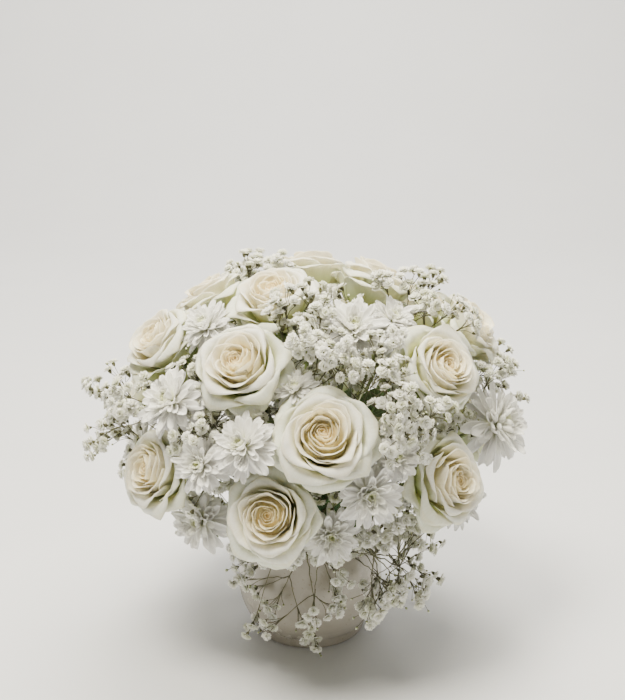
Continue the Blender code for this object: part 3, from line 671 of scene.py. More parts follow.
            # the eye of the rose is a rounded triangle rather than a circle
            r = r * (1 + 0.055 * (1 - t) * np.cos(3 * a + tri[0]) * smooth(ve, 0.4, 1.0))
            k = max(0.0, 1 - t * 1.25) * smooth(ve, 0.3, 1.0)
            p = np.stack([r * np.cos(a) + shift[0] * k, r * np.sin(a) + shift[1] * k, z + 0 * a], -1)
            col = np.stack([ve + 0 * u, t + 0 * ve + 0 * u, rng.uniform() + 0 * ve + 0 * u, np.abs(u) + 0 * ve], -1)
            out.append((p, col))
    return out


def to_world(p, base, axis, spin):
    m = np.array((Matrix.Translation(base) @ frame_of(axis, spin)))
    return p @ m[:3, :3].T + m[:3, 3]


def sepals(into, base, axis, spin, r0, length, seed, mat):
    rng = np.random.default_rng(seed)
    nu, nv = 5, 9
    u = np.linspace(-1, 1, nu)[None, :]
    v = np.linspace(0, 1, nv)[:, None]
    for i in range(5):
        phi = i * 2 * math.pi / 5 + rng.normal(0, 0.1)
        L = length * rng.uniform(0.85, 1.1)
        w = length * 0.17 * np.sin(np.clip(0.18 + 0.82 * v, 0, 1) * math.pi) ** 0.8
        bend = rng.uniform(0.7, 1.15)
        ang = mix(0.15, bend, v)
        r = r0 + L * v * np.cos(ang * 0.9)
        z = -0.001 + L * v * np.sin(ang * 0.55) * 0.35 - 0.10 * L * u * u * v
        x = u * w
        p = np.stack([r + 0 * x, x, z + 0 * x], -1)
        c, s = math.cos(phi), math.sin(phi)
        p = np.stack([p[..., 0] * c - p[..., 1] * s, p[..., 0] * s + p[..., 1] * c, p[..., 2]], -1)
        col = np.stack([v + 0 * u, 0.5 + 0 * v + 0 * u, rng.uniform() + 0 * v + 0 * u, np.abs(u) + 0 * v], -1)
        sheet(into, to_world(p, base, axis, spin), 0.0006, mat, col)
        into.next_cell()


# which way the heart of a bloom sits off its middle: 1 up, -1 down
OFF_CENTRE = {"rose_07": -0.8, "rose_08": -0.4, "rose_02": 0.7, "rose_03": 0.5}


def make_rose(row, mats, seed):
    base, axis, r, h, spin = placed(row, ROSE_DEPTH)
    into = Sheets()
    up = np.array(frame_of(axis, spin))[2, :2] * OFF_CENTRE.get(row[0], 1.0)
    for p, col in rose_local(r, h, seed, up):
        sheet(into, to_world(p, base, axis, spin), 0.00042, 0, col)
        into.next_cell()
    # the tight heart of the flower, behind the petals; its colour sits part way into the petals' painted crevice shade
    ax, b = np.array(axis), np.array(base)
    prof = [(0.02, 0.10), (0.10, 0.20), (0.26, 0.33), (0.48, 0.44), (0.62, 0.44), (0.72, 0.36), (0.775, 0.24), (0.79, 0.10), (0.795, 0.02)]
    np_tube(into, [b + ax * (z * h) for z, _ in prof], np.array([q * r for _, q in prof]), 22, 0, np.array([(0.62, 0.03 + q * 0.7, 0.4, 0.3) for z, q in prof]))
    into.next_cell()
    # the hip that the petals stand on, and the stem
    line = [np.array(q) for q in stem_line(row, ROSE_DEPTH, 12)]
    line = [q for q in line if np.linalg.norm(q - b) > 0.011]
    tail = [(-9.5, 2.3), (-8.2, 2.9), (-6.4, 4.0), (-4.2, 4.7), (-2.0, 4.5), (-0.4, 3.9), (1.0, 3.6)]
    pts = line + [b + ax * (z * MM) for z, _ in tail]
    radii = [ROSE_STEM_R * 0.94] * len(line) + [q * MM for _, q in tail]
    np_tube(into, pts, np.array(radii), 14, 1, (0.5, 0.5, 0.5, 0.5))
    into.next_cell()
    sepals(into, base, axis, spin, 0.0035, r * 0.62, seed + 1, 1)
    return into.build(row[0] + "_flower", mats)


# ------------------------------------------------------------ chrysanthemums
def make_mum(row, mats, seed):
    base, axis, r, h, spin = placed(row, MUM_DEPTH)
    rng = np.random.default_rng(seed)
    into = Sheets()
    nu, nv = 7, 10
    u = np.linspace(-1, 1, nu)[None, :]
    v = np.linspace(0, 1, nv)[:, None]
    rings = [(12, 1.00, -32), (14, 1.06, -12), (14, 1.04, 4), (13, 0.97, 19), (11, 0.86, 33), (9, 0.72, 46), (8, 0.56, 58), (7, 0.42, 70), (5, 0.30, 80)]
    for j, (count, length, lift) in enumerate(rings):
        s = j / (len(rings) - 1)
        off = rng.uniform(0, 6.28)
        for i in range(count):
            phi = off + i * 2 * math.pi / count + rng.normal(0, 0.13)
            L = 1.12 * r * length * rng.uniform(0.80, 1.08) - 0.08 * r * (1 - s)
            a0 = math.radians(lift + rng.normal(0, 9))
            bend = math.radians(mix(4, 40, s) + rng.normal(0, 17))
            wide = r * mix(0.168, 0.105, s) * rng.uniform(0.82, 1.18)
            ang = a0 + bend * (v - 0.35)
            step = L / (nv - 1)
            rr = r * mix(0.17, 0.05, s) + np.concatenate([[[0.0]], np.cumsum(np.cos(ang[:-1]) * step, 0)])
            zz = h * mix(0.30, 0.46, s) + np.concatenate([[[0.0]], np.cumsum(np.sin(ang[:-1]) * step, 0)])
            w = wide * (0.38 + 0.62 * smooth(v, 0.0, 0.62)) * np.sqrt(np.clip(1 - (np.clip(v - 0.70, 0, 1) / 0.315) ** 2, 0.02, 1))
            cup = 0.55 * w * u * u * mix(1.0, 1.6, s) * (1 if j > 0 else 0.4)
            notch = -0.05 * L * np.exp(-(u / 0.35) ** 2) * smooth(v, 0.85, 1.0) * 0.5
            twist = rng.normal(0, 0.16)
            x = u * w
            z = zz + cup * np.cos(ang) + x * twist * v
            rad = rr - cup * np.sin(ang) + notch
            p = np.stack([rad + 0 * x, x + 0 * rad, z + 0 * x], -1)
            c, sn = math.cos(phi), math.sin(phi)
            p = np.stack([p[..., 0] * c - p[..., 1] * sn, p[..., 0] * sn + p[..., 1] * c, p[..., 2]], -1)
            col = np.stack([v + 0 * u, s + 0 * v + 0 * u, rng.uniform() + 0 * v + 0 * u, np.abs(u) + 0 * v], -1)
            sheet(into, to_world(p, base, axis, spin), 0.00036, 0, col)
            into.next_cell()
    # receptacle under the rays, and the stem
    line = [np.array(q) for q in stem_line(row, MUM_DEPTH, 12)]
    ax, b = np.array(axis), np.array(base)
    line = [q for q in line if np.linalg.norm(q - b) > 0.004]
    tail = [(-2.0, 1.9), (0.0, 3.4), (2.0, 5.0), (h * 0.34 / MM, 4.6), (h * 0.50 / MM, 2.4)]
    pts = line + [b + ax * (z * MM) for z, _ in tail]
    radii = [MUM_STEM_R * 0.94] * len(line) + [q * MM for _, q in tail]
    np_tube(into, pts, np.array(radii), 12, 1, (0.5, 0.5, 0.5, 0.5))
    into.next_cell()
    return into.build(row[0] + "_flower", mats)


# -------------------------------------------------------------- baby's breath
def floret_template(seed):
    """A double floret about 1 unit in radius, face towards +Z: arrays ready to place."""
    rng = np.random.default_rng(seed)
    into = Sheets()
    nu, nv = 4, 4
    u = np.linspace(-1, 1, nu)[None, :]
    v = np.linspace(0, 1, nv)[:, None]
    for count, L, lift in ((6, 1.0, 8), (6, 0.92, 30), (5, 0.78, 52), (4, 0.58, 74)):
        off = rng.uniform(0, 6.28)
        for i in range(count):
            phi = off + i * 2 * math.pi / count + rng.normal(0, 0.15)
            a0 = math.radians(lift + rng.normal(0, 8))
            ln = L * rng.uniform(0.85, 1.08)
            w = 0.46 * L * (0.25 + 0.75 * np.sin(np.clip(v, 0, 1) * math.pi * 0.62) ** 1.0)
            rr = 0.08 + ln * v * math.cos(a0)
            zz = ln * v * math.sin(a0) + 0.12 * np.sin(u * 5 + rng.uniform(0, 6)) * v
            x = u * w
            p = np.stack([rr + 0 * x, x + 0 * rr, zz + 0.22 * w * u * u + 0 * x], -1)
            c, s = math.cos(phi), math.sin(phi)
            p = np.stack([p[..., 0] * c - p[..., 1] * s, p[..., 0] * s + p[..., 1] * c, p[..., 2]], -1)
            col = np.stack([v + 0 * u, lift / 80 + 0 * v + 0 * u, rng.uniform() + 0 * v + 0 * u, np.abs(u) + 0 * v], -1)
            sheet(into, p, 0.07, 0, col)
    # green calyx cup
    line = np.array([[0, 0, -0.75], [0, 0, -0.55], [0, 0, -0.2], [0, 0, 0.12]])
    np_tube(into, line, np.array([0.10, 0.26, 0.36, 0.30]), 6, 1, (0.5, 0.5, 0.5, 0.5))
    return into


def bud_template():
    into = Sheets()
    z = np.array([-0.9, -0.6, -0.1, 0.35, 0.75, 0.98])
    rad = np.array([0.18, 0.5, 0.72, 0.66, 0.38, 0.10])
    np_tube(into, np.stack([0 * z, 0 * z, z], -1), rad, 7, 2, np.stack([(z + 0.9) / 1.9, 0 * z, 0 * z + 0.5, 0 * z], -1))
    return into


def place_template(into, tpl, at, axis, spin, scale, tint):
    m = np.array(frame_of(Vector(axis), spin))[:3, :3] * scale
    for k in range(len(tpl.v)):
        col = tpl.col[k].copy()
        col[:, 2] = np.clip(col[:, 2] * 0.4 + tint * 0.6, 0, 1)
        into.add(tpl.v[k] @ m.T + at, tpl.loops[k] - sum(len(x) for x in tpl.v[:k]), tpl.totals[k], int(tpl.mats[k][0]), col, tpl.uv[k][0], tpl.puv[k])


def flatten(tpl):
    """Merges a template's pieces by material, so that placing it is quick."""
    out = Sheets()
    base = 0
    groups = {}
    for k in range(len(tpl.v)):
        groups.setdefault(int(tpl.mats[k][0]), []).append(k)
    for mat, ks in groups.items():
        vs, ls, ts, cs, us, ps = [], [], [], [], [], []
        n = 0
        side = math.ceil(math.sqrt(len(ks)))
        for c, k in enumerate(ks):
            first = sum(len(x) for x in tpl.v[:k])
            vs.append(tpl.v[k])
            ls.append(tpl.loops[k] - first + n)
            ts.append(tpl.totals[k])
            cs.append(tpl.col[k])
            us.append((np.array([c % side, c // side]) + 0.04 + 0.92 * tpl.uv[k][0]) / side)
            ps.append(tpl.puv[k])
            n += len(tpl.v[k])
        out.v.append(np.concatenate(vs))
        out.loops.append(np.concatenate(ls) + base)
        out.totals.append(np.concatenate(ts))
        out.mats.append(np.full(len(out.totals[-1]), mat, np.int32))
        out.col.append(np.concatenate(cs))
        out.uv.append((np.concatenate(us), 0))
        out.puv.append(np.concatenate(ps))
        base += n
    return out


def curve3(a, b, c, n):
    t = np.linspace(0, 1, n)[:, None]
    return a * (1 - t) ** 2 + 2 * b * t * (1 - t) + c * t * t


LIMIT = [Vector((-1, -1, 0)), Vector((1, 1, 1))]


def inside(p):
    return all(LIMIT[0][i] - 0.003 < p[i] < LIMIT[1][i] + 0.002 for i in (0, 1, 2))


def cluster(into, rng, root, tp, want, spread, florets, bud, blooms, lines, others, buds=2, outward=0.0):
    """A tuft of florets and buds at tp, on a twig that comes from root."""
    green = (0.5, 0.5, 0.5, 0.5)
    out = tp - root
    length = np.linalg.norm(out)
    out = out / length
    b = tp - out * min(0.013, length * 0.6)
    twig = curve3(root, (root + b) / 2 + rng.normal(0, 0.0010, 3), b, 6)
    twig[1:-1] += rng.normal(0, 0.00035, (4, 3))
    np_tube(into, twig, np.linspace(0.00038, 0.00030, 6), 5, 1, green)
    spots, tries = [], 0
    near = [q for q in others if abs(q[0] - tp[0]) < 0.03 and abs(q[1] - tp[1]) < 0.03 and abs(q[2] - tp[2]) < 0.03]
    while len(spots) < want and tries < want * 14:
        tries += 1
        d = rng.normal(0, 1, 3)
        d /= np.linalg.norm(d)
        p = tp + (d * rng.uniform(0.2, 1.0) ** 0.5 + out * 0.35) * CLUMP_R * (spread if spots else 0.4)
        if not inside(p) or any(np.linalg.norm(p - q) < 0.0062 for q in spots + near):
            continue
        if not is_free(Vector(p), 0.0036, blooms, lines):
            continue
        spots.append(p)
    for p in spots:
        start = b + out * rng.uniform(-0.003, 0.002)
        d = p - start
        ln = np.linalg.norm(d)
        away = np.array([p[0], p[1], 0.0])
        face = (d / ln + out * 0.5) * (1 - 0.75 * outward) + away / (np.linalg.norm(away) + 1e-6) * 1.2 * outward + rng.normal(0, 0.25, 3)
        face /= np.linalg.norm(face)
        size = rng.uniform(0.0036, 0.0047)
        end = p - face * size * 0.7
        np_tube(into, curve3(start, start + out * ln * 0.5, end, 4), np.array([0.00032, 0.00028, 0.00026, 0.00026]), 4, 1, green)
        place_template(into, florets[rng.integers(len(florets))], p, face, rng.uniform(0, 360), size, rng.uniform())
    others.extend(spots)
    for _ in range(buds):
        d = rng.normal(0, 1, 3)
        d /= np.linalg.norm(d)
        p = tp + (d + out * 0.5) * CLUMP_R * rng.uniform(1.2, 1.9)
        if not inside(p) or not is_free(Vector(p), 0.0024, blooms, lines) or any(np.linalg.norm(p - q) < 0.0048 for q in spots):
            continue
        start = b - out * rng.uniform(0.0, 0.004)
        d = p - start
        ln = np.linalg.norm(d)
        size = rng.uniform(0.0010, 0.0017)
        np_tube(into, curve3(start, start + out * ln * 0.45, p - d / ln * size * 0.8, 4), np.array([0.0003, 0.00026, 0.00022, 0.00022]), 4, 1, green)
        place_template(into, bud, p, d / ln, 0, size, rng.uniform())
    into.next_cell()


# where the hanging sprays fill in under the flowers: azimuth, elevation, their spread, seed, depth
UNDER = {"babys_breath_06": (-6, 2, 34, 8, 61, 0.62, 0.98), "babys_breath_07": (37, 9, 24, 12, 71, 0.66, 1.0)}


def inner_spots(name, blooms, lines):
    """Free places among the stems and under the flowers, near a spray, for more tufts."""
    if name in UNDER:
        az, el, saz, sel, seed, near, far = UNDER[name]
    else:
        _, az, el, _, saz, sel, _, _, _, seed = next(r for r in SPRAYS if r[0] == name)
        saz, sel, near, far = saz + 16, sel + 10, 0.55, 0.97
    rng = random.Random(seed + 7)
    for _ in range(900):
        e = el + rng.uniform(-1, 1) * sel
        a = az + rng.uniform(-1, 1) * saz / max(0.4, math.cos(math.radians(e)))
        d = heading(a, e)
        p = STEM_C + (dome_point(d) - STEM_C) * rng.uniform(near, far)
        if math.hypot(p.x, p.y) < 60 * MM and p.z < 125 * MM:
            continue
        if is_free(p, 4.6 * MM, blooms, lines):
            yield p


def make_spray(name, plan, mats, florets, bud, blooms, lines, seed, per_tuft, others, extra):
    stem, fork, arms = plan
    hanging = name in UNDER
    rng = np.random.default_rng(seed)
    into = Sheets()
    green = (0.5, 0.5, 0.5, 0.5)
    s = np.array([list(q) for q in stem])
    f = np.array(fork)
    np_tube(into, s, np.full(len(s), 0.00095), 8, 1, green)
    into.next_cell()
    for knot, tips in arms:
        k = np.array(knot)
        mid = (f + k) / 2 + rng.normal(0, 0.0008, 3)
        arm = curve3(s[-1] - (s[-1] - s[-2]) * 0.05, mid, k, 8)
        arm[1:-1] += rng.normal(0, 0.0005, (6, 3))
        np_tube(into, arm, np.linspace(0.00058, 0.00038, 8), 6, 1, green)
        np_tube(into, np.array([k - 0.0014 * (k - f) / np.linalg.norm(k - f), k, k + 0.0014 * (k - f) / np.linalg.norm(k - f)]), np.array([0.0003, 0.00068, 0.0003]), 6, 1, green)
        into.next_cell()
        for tip in tips:
            cluster(into, rng, k, np.array(tip), per_tuft, 1.35 if hanging else 1.75, florets, bud, blooms, lines, others, 2, 1.0 if hanging else 0.0)
    roots = [(fork, 1.0)] + [(knot, 1.0) for knot, _ in arms]
    done = 0
    for p in inner_spots(name, blooms, lines):
        if done >= extra:
            break
        tp = np.array(p)
        if any(np.linalg.norm(tp - q) < 0.0085 for q in others):
            continue
        root = min((r for r, _ in roots), key=lambda r: (r - p).length)
        if (root - p).length > 75 * MM or not path_free(root, p, 0.35 * MM, blooms, lines[: len(ROSES) + len(MUMS)]):
            continue
        cluster(into, rng, np.array(root), tp, 3, 1.5, florets, bud, blooms, lines, others, 3 if name in DENSE else 1, 0.6 if hanging else 0.0)
        done += 1
    return into.build(name + "_spray", mats)


# ---------------------------------------------------------------- bowl, leaf
def fine_profile(points, n):
    """A smooth curve through (radius, height) points, as a Catmull-Rom spline."""
    pts = [points[0]] + list(points) + [points[-1]]
    out = []
    for i in range(1, len(pts) - 2):
        p0, p1, p2, p3 = (np.array(pts[i + k]) for k in (-1, 0, 1, 2))
        for j in range(n):
            t = j / n
            out.append(0.5 * (2 * p1 + (p2 - p0) * t + (2 * p0 - 5 * p1 + 4 * p2 - p3) * t * t + (3 * p1 - p0 - 3 * p2 + p3) * t ** 3))
    out.append(np.array(pts[-2]))
    return out


def make_bowl(mat):
    foot = [(0.0001, 0.9 * MM), (FOOT_R - 9 * MM, 0.9 * MM), (FOOT_R - 6 * MM, 0.1 * MM), (FOOT_R - 5 * MM, 0.0),
            (FOOT_R - 1.6 * MM, 0.0), (FOOT_R - 0.5 * MM, 0.4 * MM), (FOOT_R, 1.5 * MM), (FOOT_R, 6.6 * MM), (FOOT_R + 0.1 * MM, 7.0 * MM)]
    outer = [(FOOT_R + 0.1 * MM, 7.0 * MM), (FOOT_R + 1.5 * MM, 8.6 * MM)] + list(BOWL_OUTER[3:11]) + [(RIM_R - 0.35 * MM, BOWL_H - 0.7 * MM), (RIM_R - 1.6 * MM, BOWL_H), (RIM_R - WALL + 1.4 * MM, BOWL_H - 0.1 * MM), (RIM_R - WALL + 0.2 * MM, BOWL_H - 1.0 * MM)]
    inner = [(RIM_R - WALL, BOWL_H - 2.4 * MM), (BELLY_R - 5.0 * MM - WALL, 84 * MM), (BELLY_R - 1.0 * MM - WALL, 56 * MM), (BELLY_R - 0.8 * MM - WALL, 40 * MM),
             (FOOT_R + 9 * MM - WALL, 24 * MM), (FOOT_R + 1 * MM - WALL, 12 * MM), (FOOT_R - 8 * MM, 7.5 * MM), (0.0001, 7 * MM)]
    profile = [np.array(p) for p in foot] + fine_profile(outer, 6)[1:] + fine_profile(inner, 4)
    n = 144
    k = len(profile)
    ang = np.linspace(0, 2 * math.pi, n, endpoint=False)
    v = np.concatenate([np.stack([p[0] * np.cos(ang), p[0] * np.sin(ang), np.full(n, p[1])], -1) for p in profile])
    # the hand-thrown wall is not perfectly round
    v[:, 0] *= 1.0 + 0.0008 * np.sin(v[:, 2] * 220)
    a = np.arange(n)
    b = (a + 1) % n
    quads, uvs = [], []
    for i in range(k - 1):
        quads.append(np.stack([a + i * n, b + i * n, b + (i + 1) * n, a + (i + 1) * n], -1))
        u0, u1 = a / n, (a + 1) / n
        w0, w1 = np.full(n, i / (k + 1)), np.full(n, (i + 1) / (k + 1))
        uvs.append(np.stack([np.stack([u0, w0], -1), np.stack([u1, w0], -1), np.stack([u1, w1], -1), np.stack([u0, w1], -1)], 1))
    last = (k - 1) * n
    caps = [np.arange(n)[::-1], last + np.arange(n)]
    loops = np.concatenate([np.concatenate(quads).reshape(-1)] + caps)
    totals = np.concatenate([np.full((k - 1) * n, 4), [n, n]])
    capuv = np.stack([0.5 + 0.01 * np.cos(ang), 0.985 + 0.01 * np.sin(ang)], -1)
    uv = np.concatenate([np.concatenate(uvs).reshape(-1, 2), capuv[::-1], capuv])
    into = Sheets()
    into.add(v, loops, totals, 0, np.tile([0.5, 0.5, 0.5, 0.5], (len(v), 1)), uv, uv)
    return into.build("bowl_ceramic", [mat])


def make_leaf(row, mat):
    name, _, _, _, length, half, roll = row
    start, base, tip, out = leaf_line(row)
    side = Vector((0, 0, 1)).cross(out).normalized()
    side = Matrix.Rotation(math.radians(roll), 3, out) @ side
    face = out.cross(side)
    o, sd, fc, b, st = (np.array(x) for x in (out, side, face, base, start))
    nu, nv = 21, 33
    u = np.linspace(-1, 1, nu)[None, :]
    v = np.linspace(0, 1, nv)[:, None]
    w = half * MM * np.sin(np.clip(0.06 + 0.94 * v, 0, 1) ** 0.8 * math.pi) ** 0.85
    w = w * (1 + 0.05 * np.abs(((v * 14) % 1) - 0.5) * 2)
    bend = 0.05 * np.sin(v * math.pi) - 0.04 * v * v
    veins = 0.35 * MM * np.cos((v * 9 - np.abs(u) * 2.6) * 2 * math.pi) * np.abs(u) * (1 - np.abs(u))
    z = 0.22 * np.abs(u) * w + bend * length * MM + veins
    p = b + (v[..., None] * length * MM) * o + (u * w)[..., None] * sd + (z + 0 * u)[..., None] * fc
    into = Sheets()
    col = np.stack([v + 0 * u, 0.5 + 0 * v + 0 * u, 0.5 + 0 * v + 0 * u, np.abs(u) + 0 * v], -1)
    sheet(into, p, 0.0007, 0, col)
    into.next_cell()
    mid = b + (np.linspace(0, 0.86, 16)[:, None] * length * MM) * o + (0.05 * np.sin(np.linspace(0, 0.86, 16) * math.pi) * length * MM - 0.0003)[:, None] * fc
    np_tube(into, np.concatenate([[st], [(st + b) / 2], mid]), np.concatenate([[0.00085, 0.00085], np.linspace(0.00085, 0.0003, 16)]), 8, 0, (0.5, 0.5, 0.5, 0.0))
    return into.build(name + "_blade", [mat])


# ----------------------------------------------------------------- materials
class Nodes:
    def __init__(self, name):
        self.m = bpy.data.materials.new(name)
        self.m.use_nodes = True
        self.t = self.m.node_tree
        self.p = self.t.nodes["Principled BSDF"]

    def new(self, kind, **settings):
        n = self.t.nodes.new(kind)
        for k, v in settings.items():
            if k.startswith("in_"):
                key = k[3:]
                n.inputs[int(key) if key.isdigit() else key.replace("_", " ")].default_value = v
            else:
                setattr(n, k, v)
        return n

    def link(self, a, b):
        self.t.links.new(a, b)

    def math(self, op, a, b=None, clamp=False):
        n = self.new("ShaderNodeMath", operation=op, use_clamp=clamp)
        for i, x in enumerate((a, b)):
            if x is None:
                continue
            if isinstance(x, (int, float)):
                n.inputs[i].default_value = x
            else:
                self.link(x, n.inputs[i])
        return n.outputs[0]

    def ramp(self, x, stops, interpolation="EASE"):
        n = self.new("ShaderNodeValToRGB")
        r = n.color_ramp
        r.interpolation = interpolation
        while len(r.elements) < len(stops):
            r.elements.new(0.5)
        for e, (pos, c) in zip(r.elements, stops):
            e.position = pos
            e.color = (*c, 1) if len(c) == 3 else c
        self.link(x, n.inputs[0])
        return n.outputs[0]

    def blend(self, f, a, b, kind="MIX"):
        n = self.new("ShaderNodeMix", data_type="RGBA", blend_type=kind)
        for i, x in ((0, f), (6, a), (7, b)):
            if isinstance(x, (int, float)):
                n.inputs[i].default_value = x
            elif isinstance(x, tuple):
                n.inputs[i].default_value = (*x, 1)
            else:
                self.link(x, n.inputs[i])
        return n.outputs[2]

    def petal_parts(self):
        a = self.new("ShaderNodeAttribute", attribute_name="petal")
        s = self.new("ShaderNodeSeparateColor")
        self.link(a.outputs["Color"], s.inputs[0])
        return s.outputs[0], s.outputs[1], s.outputs[2], a.outputs["Alpha"]

    def petal_noise(self, su, sv, detail=3.0, offset=0.0):
        uv = self.new("ShaderNodeUVMap", uv_map="PetalUV")
        mp = self.new("ShaderNodeMapping")
        mp.inputs["Scale"].default_value = (su, sv, 1)
        self.link(uv.outputs[0], mp.inputs[0])
        add = self.new("ShaderNodeVectorMath", operation="ADD")
        self.link(mp.outputs[0], add.inputs[0])
        _, t, rnd, _ = self.petal_parts()
        comb = self.new("ShaderNodeCombineXYZ")
        self.link(self.math("MULTIPLY", rnd, 37.0), comb.inputs[0])
        self.link(self.math("MULTIPLY", t, 91.0), comb.inputs[1])
        self.link(comb.outputs[0], add.inputs[1])
        n = self.new("ShaderNodeTexNoise", in_Detail=detail, in_Scale=1.0, in_Roughness=0.55)
        self.link(add.outputs[0], n.inputs["Vector"])
        return n.outputs[0]

    def bump(self, height, strength, distance):
        b = self.new("ShaderNodeBump", in_Strength=strength, in_Distance=distance)
        self.link(height, b.inputs["Height"])
        self.link(b.outputs[0], self.p.inputs["Normal"])


def rose_material():
    n = Nodes("rose_petal_skin")
    v, t, rnd, edge = n.petal_parts()
    rim = n.ramp(t, [(0.0, (0.96, 0.80, 0.47)), (0.25, (0.96, 0.87, 0.61)), (0.50, (0.95, 0.895, 0.73)), (0.75, (0.93, 0.905, 0.79)), (1.0, (0.87, 0.89, 0.70))])
    # towards its base each petal turns to painted shade and warm bounce light from the crevices between the petals,
    # laid over the petal's own warmer, greener base
    base_tint_and_painted_shade = n.ramp(t, [(0.0, (0.84, 0.53, 0.17)), (0.30, (0.92, 0.75, 0.33)), (0.55, (0.86, 0.81, 0.38)), (0.8, (0.74, 0.78, 0.33)), (1.0, (0.56, 0.67, 0.23))])
    up = n.ramp(v, [(0.25, (0, 0, 0)), (0.93, (1, 1, 1))])
    colour = n.blend(up, base_tint_and_painted_shade, rim)
    veins = n.petal_noise(46, 5)
    cloud = n.petal_noise(5, 4, 2.0)
    shade = n.ramp(veins, [(0.30, (0.93, 0.92, 0.88)), (0.62, (1, 1, 1))])
    colour = n.blend(0.8, colour, shade, "MULTIPLY")
    tone = n.ramp(cloud, [(0.30, (0.965, 0.96, 0.93)), (0.70, (1, 1, 1))])
    colour = n.blend(1.0, colour, tone, "MULTIPLY")
    # a thin, slightly browner line along the very rim of the petals
    line = n.ramp(v, [(0.955, (1, 1, 1)), (0.995, (0.955, 0.925, 0.85))])
    colour = n.blend(0.9, colour, line, "MULTIPLY")
    n.link(colour, n.p.inputs["Base Color"])
    n.link(n.ramp(cloud, [(0.2, (0.50, 0.50, 0.50)), (0.8, (0.64, 0.64, 0.64))]), n.p.inputs["Roughness"])
    n.p.inputs["Subsurface Weight"].default_value = 0.45
    n.p.inputs["Subsurface Radius"].default_value = (1.0, 0.82, 0.55)
    n.p.inputs["Subsurface Scale"].default_value = 0.0045
    n.p.inputs["Specular IOR Level"].default_value = 0.32
    n.p.inputs["Sheen Weight"].default_value = 0.08
    n.bump(n.math("ADD", n.math("MULTIPLY", veins, 0.6), n.math("MULTIPLY", cloud, 1.0)), 0.35, 0.0007)
    return n.m


def mum_material():
    n = Nodes("chrysanthemum_skin")
    v, t, rnd, edge = n.petal_parts()
    rim = n.ramp(t, [(0.0, (0.92, 0.915, 0.90)), (0.72, (0.92, 0.92, 0.85)), (0.90, (0.88, 0.90, 0.68)), (1.0, (0.82, 0.86, 0.50))])
    # near the heart of the head each ray's base turns a darker yellow-green: painted shade between the rays, laid over
    # the rays' own greener bases
    base_tint_and_painted_shade = n.ramp(t, [(0.0, (0.76, 0.78, 0.58)), (0.7, (0.76, 0.80, 0.50)), (1.0, (0.60, 0.68, 0.28))])
    up = n.ramp(v, [(0.04, (0, 0, 0)), (0.42, (1, 1, 1))])
    colour = n.blend(up, base_tint_and_painted_shade, rim)
    veins = n.petal_noise(13, 1.6)
    shade = n.ramp(veins, [(0.30, (0.93, 0.93, 0.95)), (0.60, (1, 1, 1))])
    colour = n.blend(0.9, colour, shade, "MULTIPLY")
    n.link(colour, n.p.inputs["Base Color"])
    n.link(n.ramp(veins, [(0.2, (0.52, 0.52, 0.52)), (0.8, (0.66, 0.66, 0.66))]), n.p.inputs["Roughness"])
    n.p.inputs["Subsurface Weight"].default_value = 0.45
    n.p.inputs["Subsurface Radius"].default_value = (1.0, 0.95, 0.85)
    n.p.inputs["Subsurface Scale"].default_value = 0.004
    n.p.inputs["Specular IOR Level"].default_value = 0.3
    n.bump(veins, 0.4, 0.0006)
    return n.m


def green_material(name, dark, light, scale, rough=0.5, sub=0.0):
    n = Nodes(name)
    co = n.new("ShaderNodeTexCoord")
    noise = n.new("ShaderNodeTexNoise", in_Scale=scale, in_Detail=4.0)
    n.link(co.outputs["Object"], noise.inputs["Vector"])
    n.link(n.ramp(noise.outputs[0], [(0.32, dark), (0.68, light)]), n.p.inputs["Base Color"])
    n.link(n.ramp(noise.outputs[0], [(0.2, (rough - 0.07,) * 3), (0.8, (rough + 0.12,) * 3)]), n.p.inputs["Roughness"])
    n.p.inputs["Subsurface Weight"].default_value = sub
    n.p.inputs["Subsurface Radius"].default_value = (0.7, 1.0, 0.4)
    n.p.inputs["Subsurface Scale"].default_value = 0.002
    n.bump(noise.outputs[0], 0.3, 0.0004)
    return n.m


def floret_material():
    n = Nodes("babys_breath_petal")
    v, t, rnd, edge = n.petal_parts()
    # each floret petal darkens to green-grey towards its base: painted shade in the floret's heart, over the petal's
    # own slightly greener base
    colour = n.ramp(v, [(0.0, (0.34, 0.39, 0.18)), (0.30, (0.66, 0.69, 0.48)), (0.62, (0.84, 0.85, 0.76)), (1.0, (0.92, 0.915, 0.87))])
    tint = n.ramp(rnd, [(0.0, (0.60, 0.63, 0.46)), (0.30, (0.86, 0.87, 0.78)), (0.75, (1, 1, 1))])
    colour = n.blend(0.9, colour, tint, "MULTIPLY")
    n.link(colour, n.p.inputs["Base Color"])
    n.link(n.ramp(rnd, [(0.0, (0.55,) * 3), (1.0, (0.75,) * 3)]), n.p.inputs["Roughness"])
    n.p.inputs["Subsurface Weight"].default_value = 0.3
    n.p.inputs["Subsurface Radius"].default_value = (1.0, 0.96, 0.80)
    n.p.inputs["Subsurface Scale"].default_value = 0.002
    return n.m


def bud_material():
    n = Nodes("babys_breath_bud")
    v, t, rnd, edge = n.petal_parts()
    colour = n.ramp(v, [(0.0, (0.12, 0.14, 0.06)), (0.45, (0.27, 0.31, 0.15)), (0.75, (0.66, 0.67, 0.50)), (1.0, (0.84, 0.84, 0.74))])
    n.link(colour, n.p.inputs["Base Color"])
    n.link(n.ramp(v, [(0.0, (0.50,) * 3), (1.0, (0.70,) * 3)]), n.p.inputs["Roughness"])
    return n.m


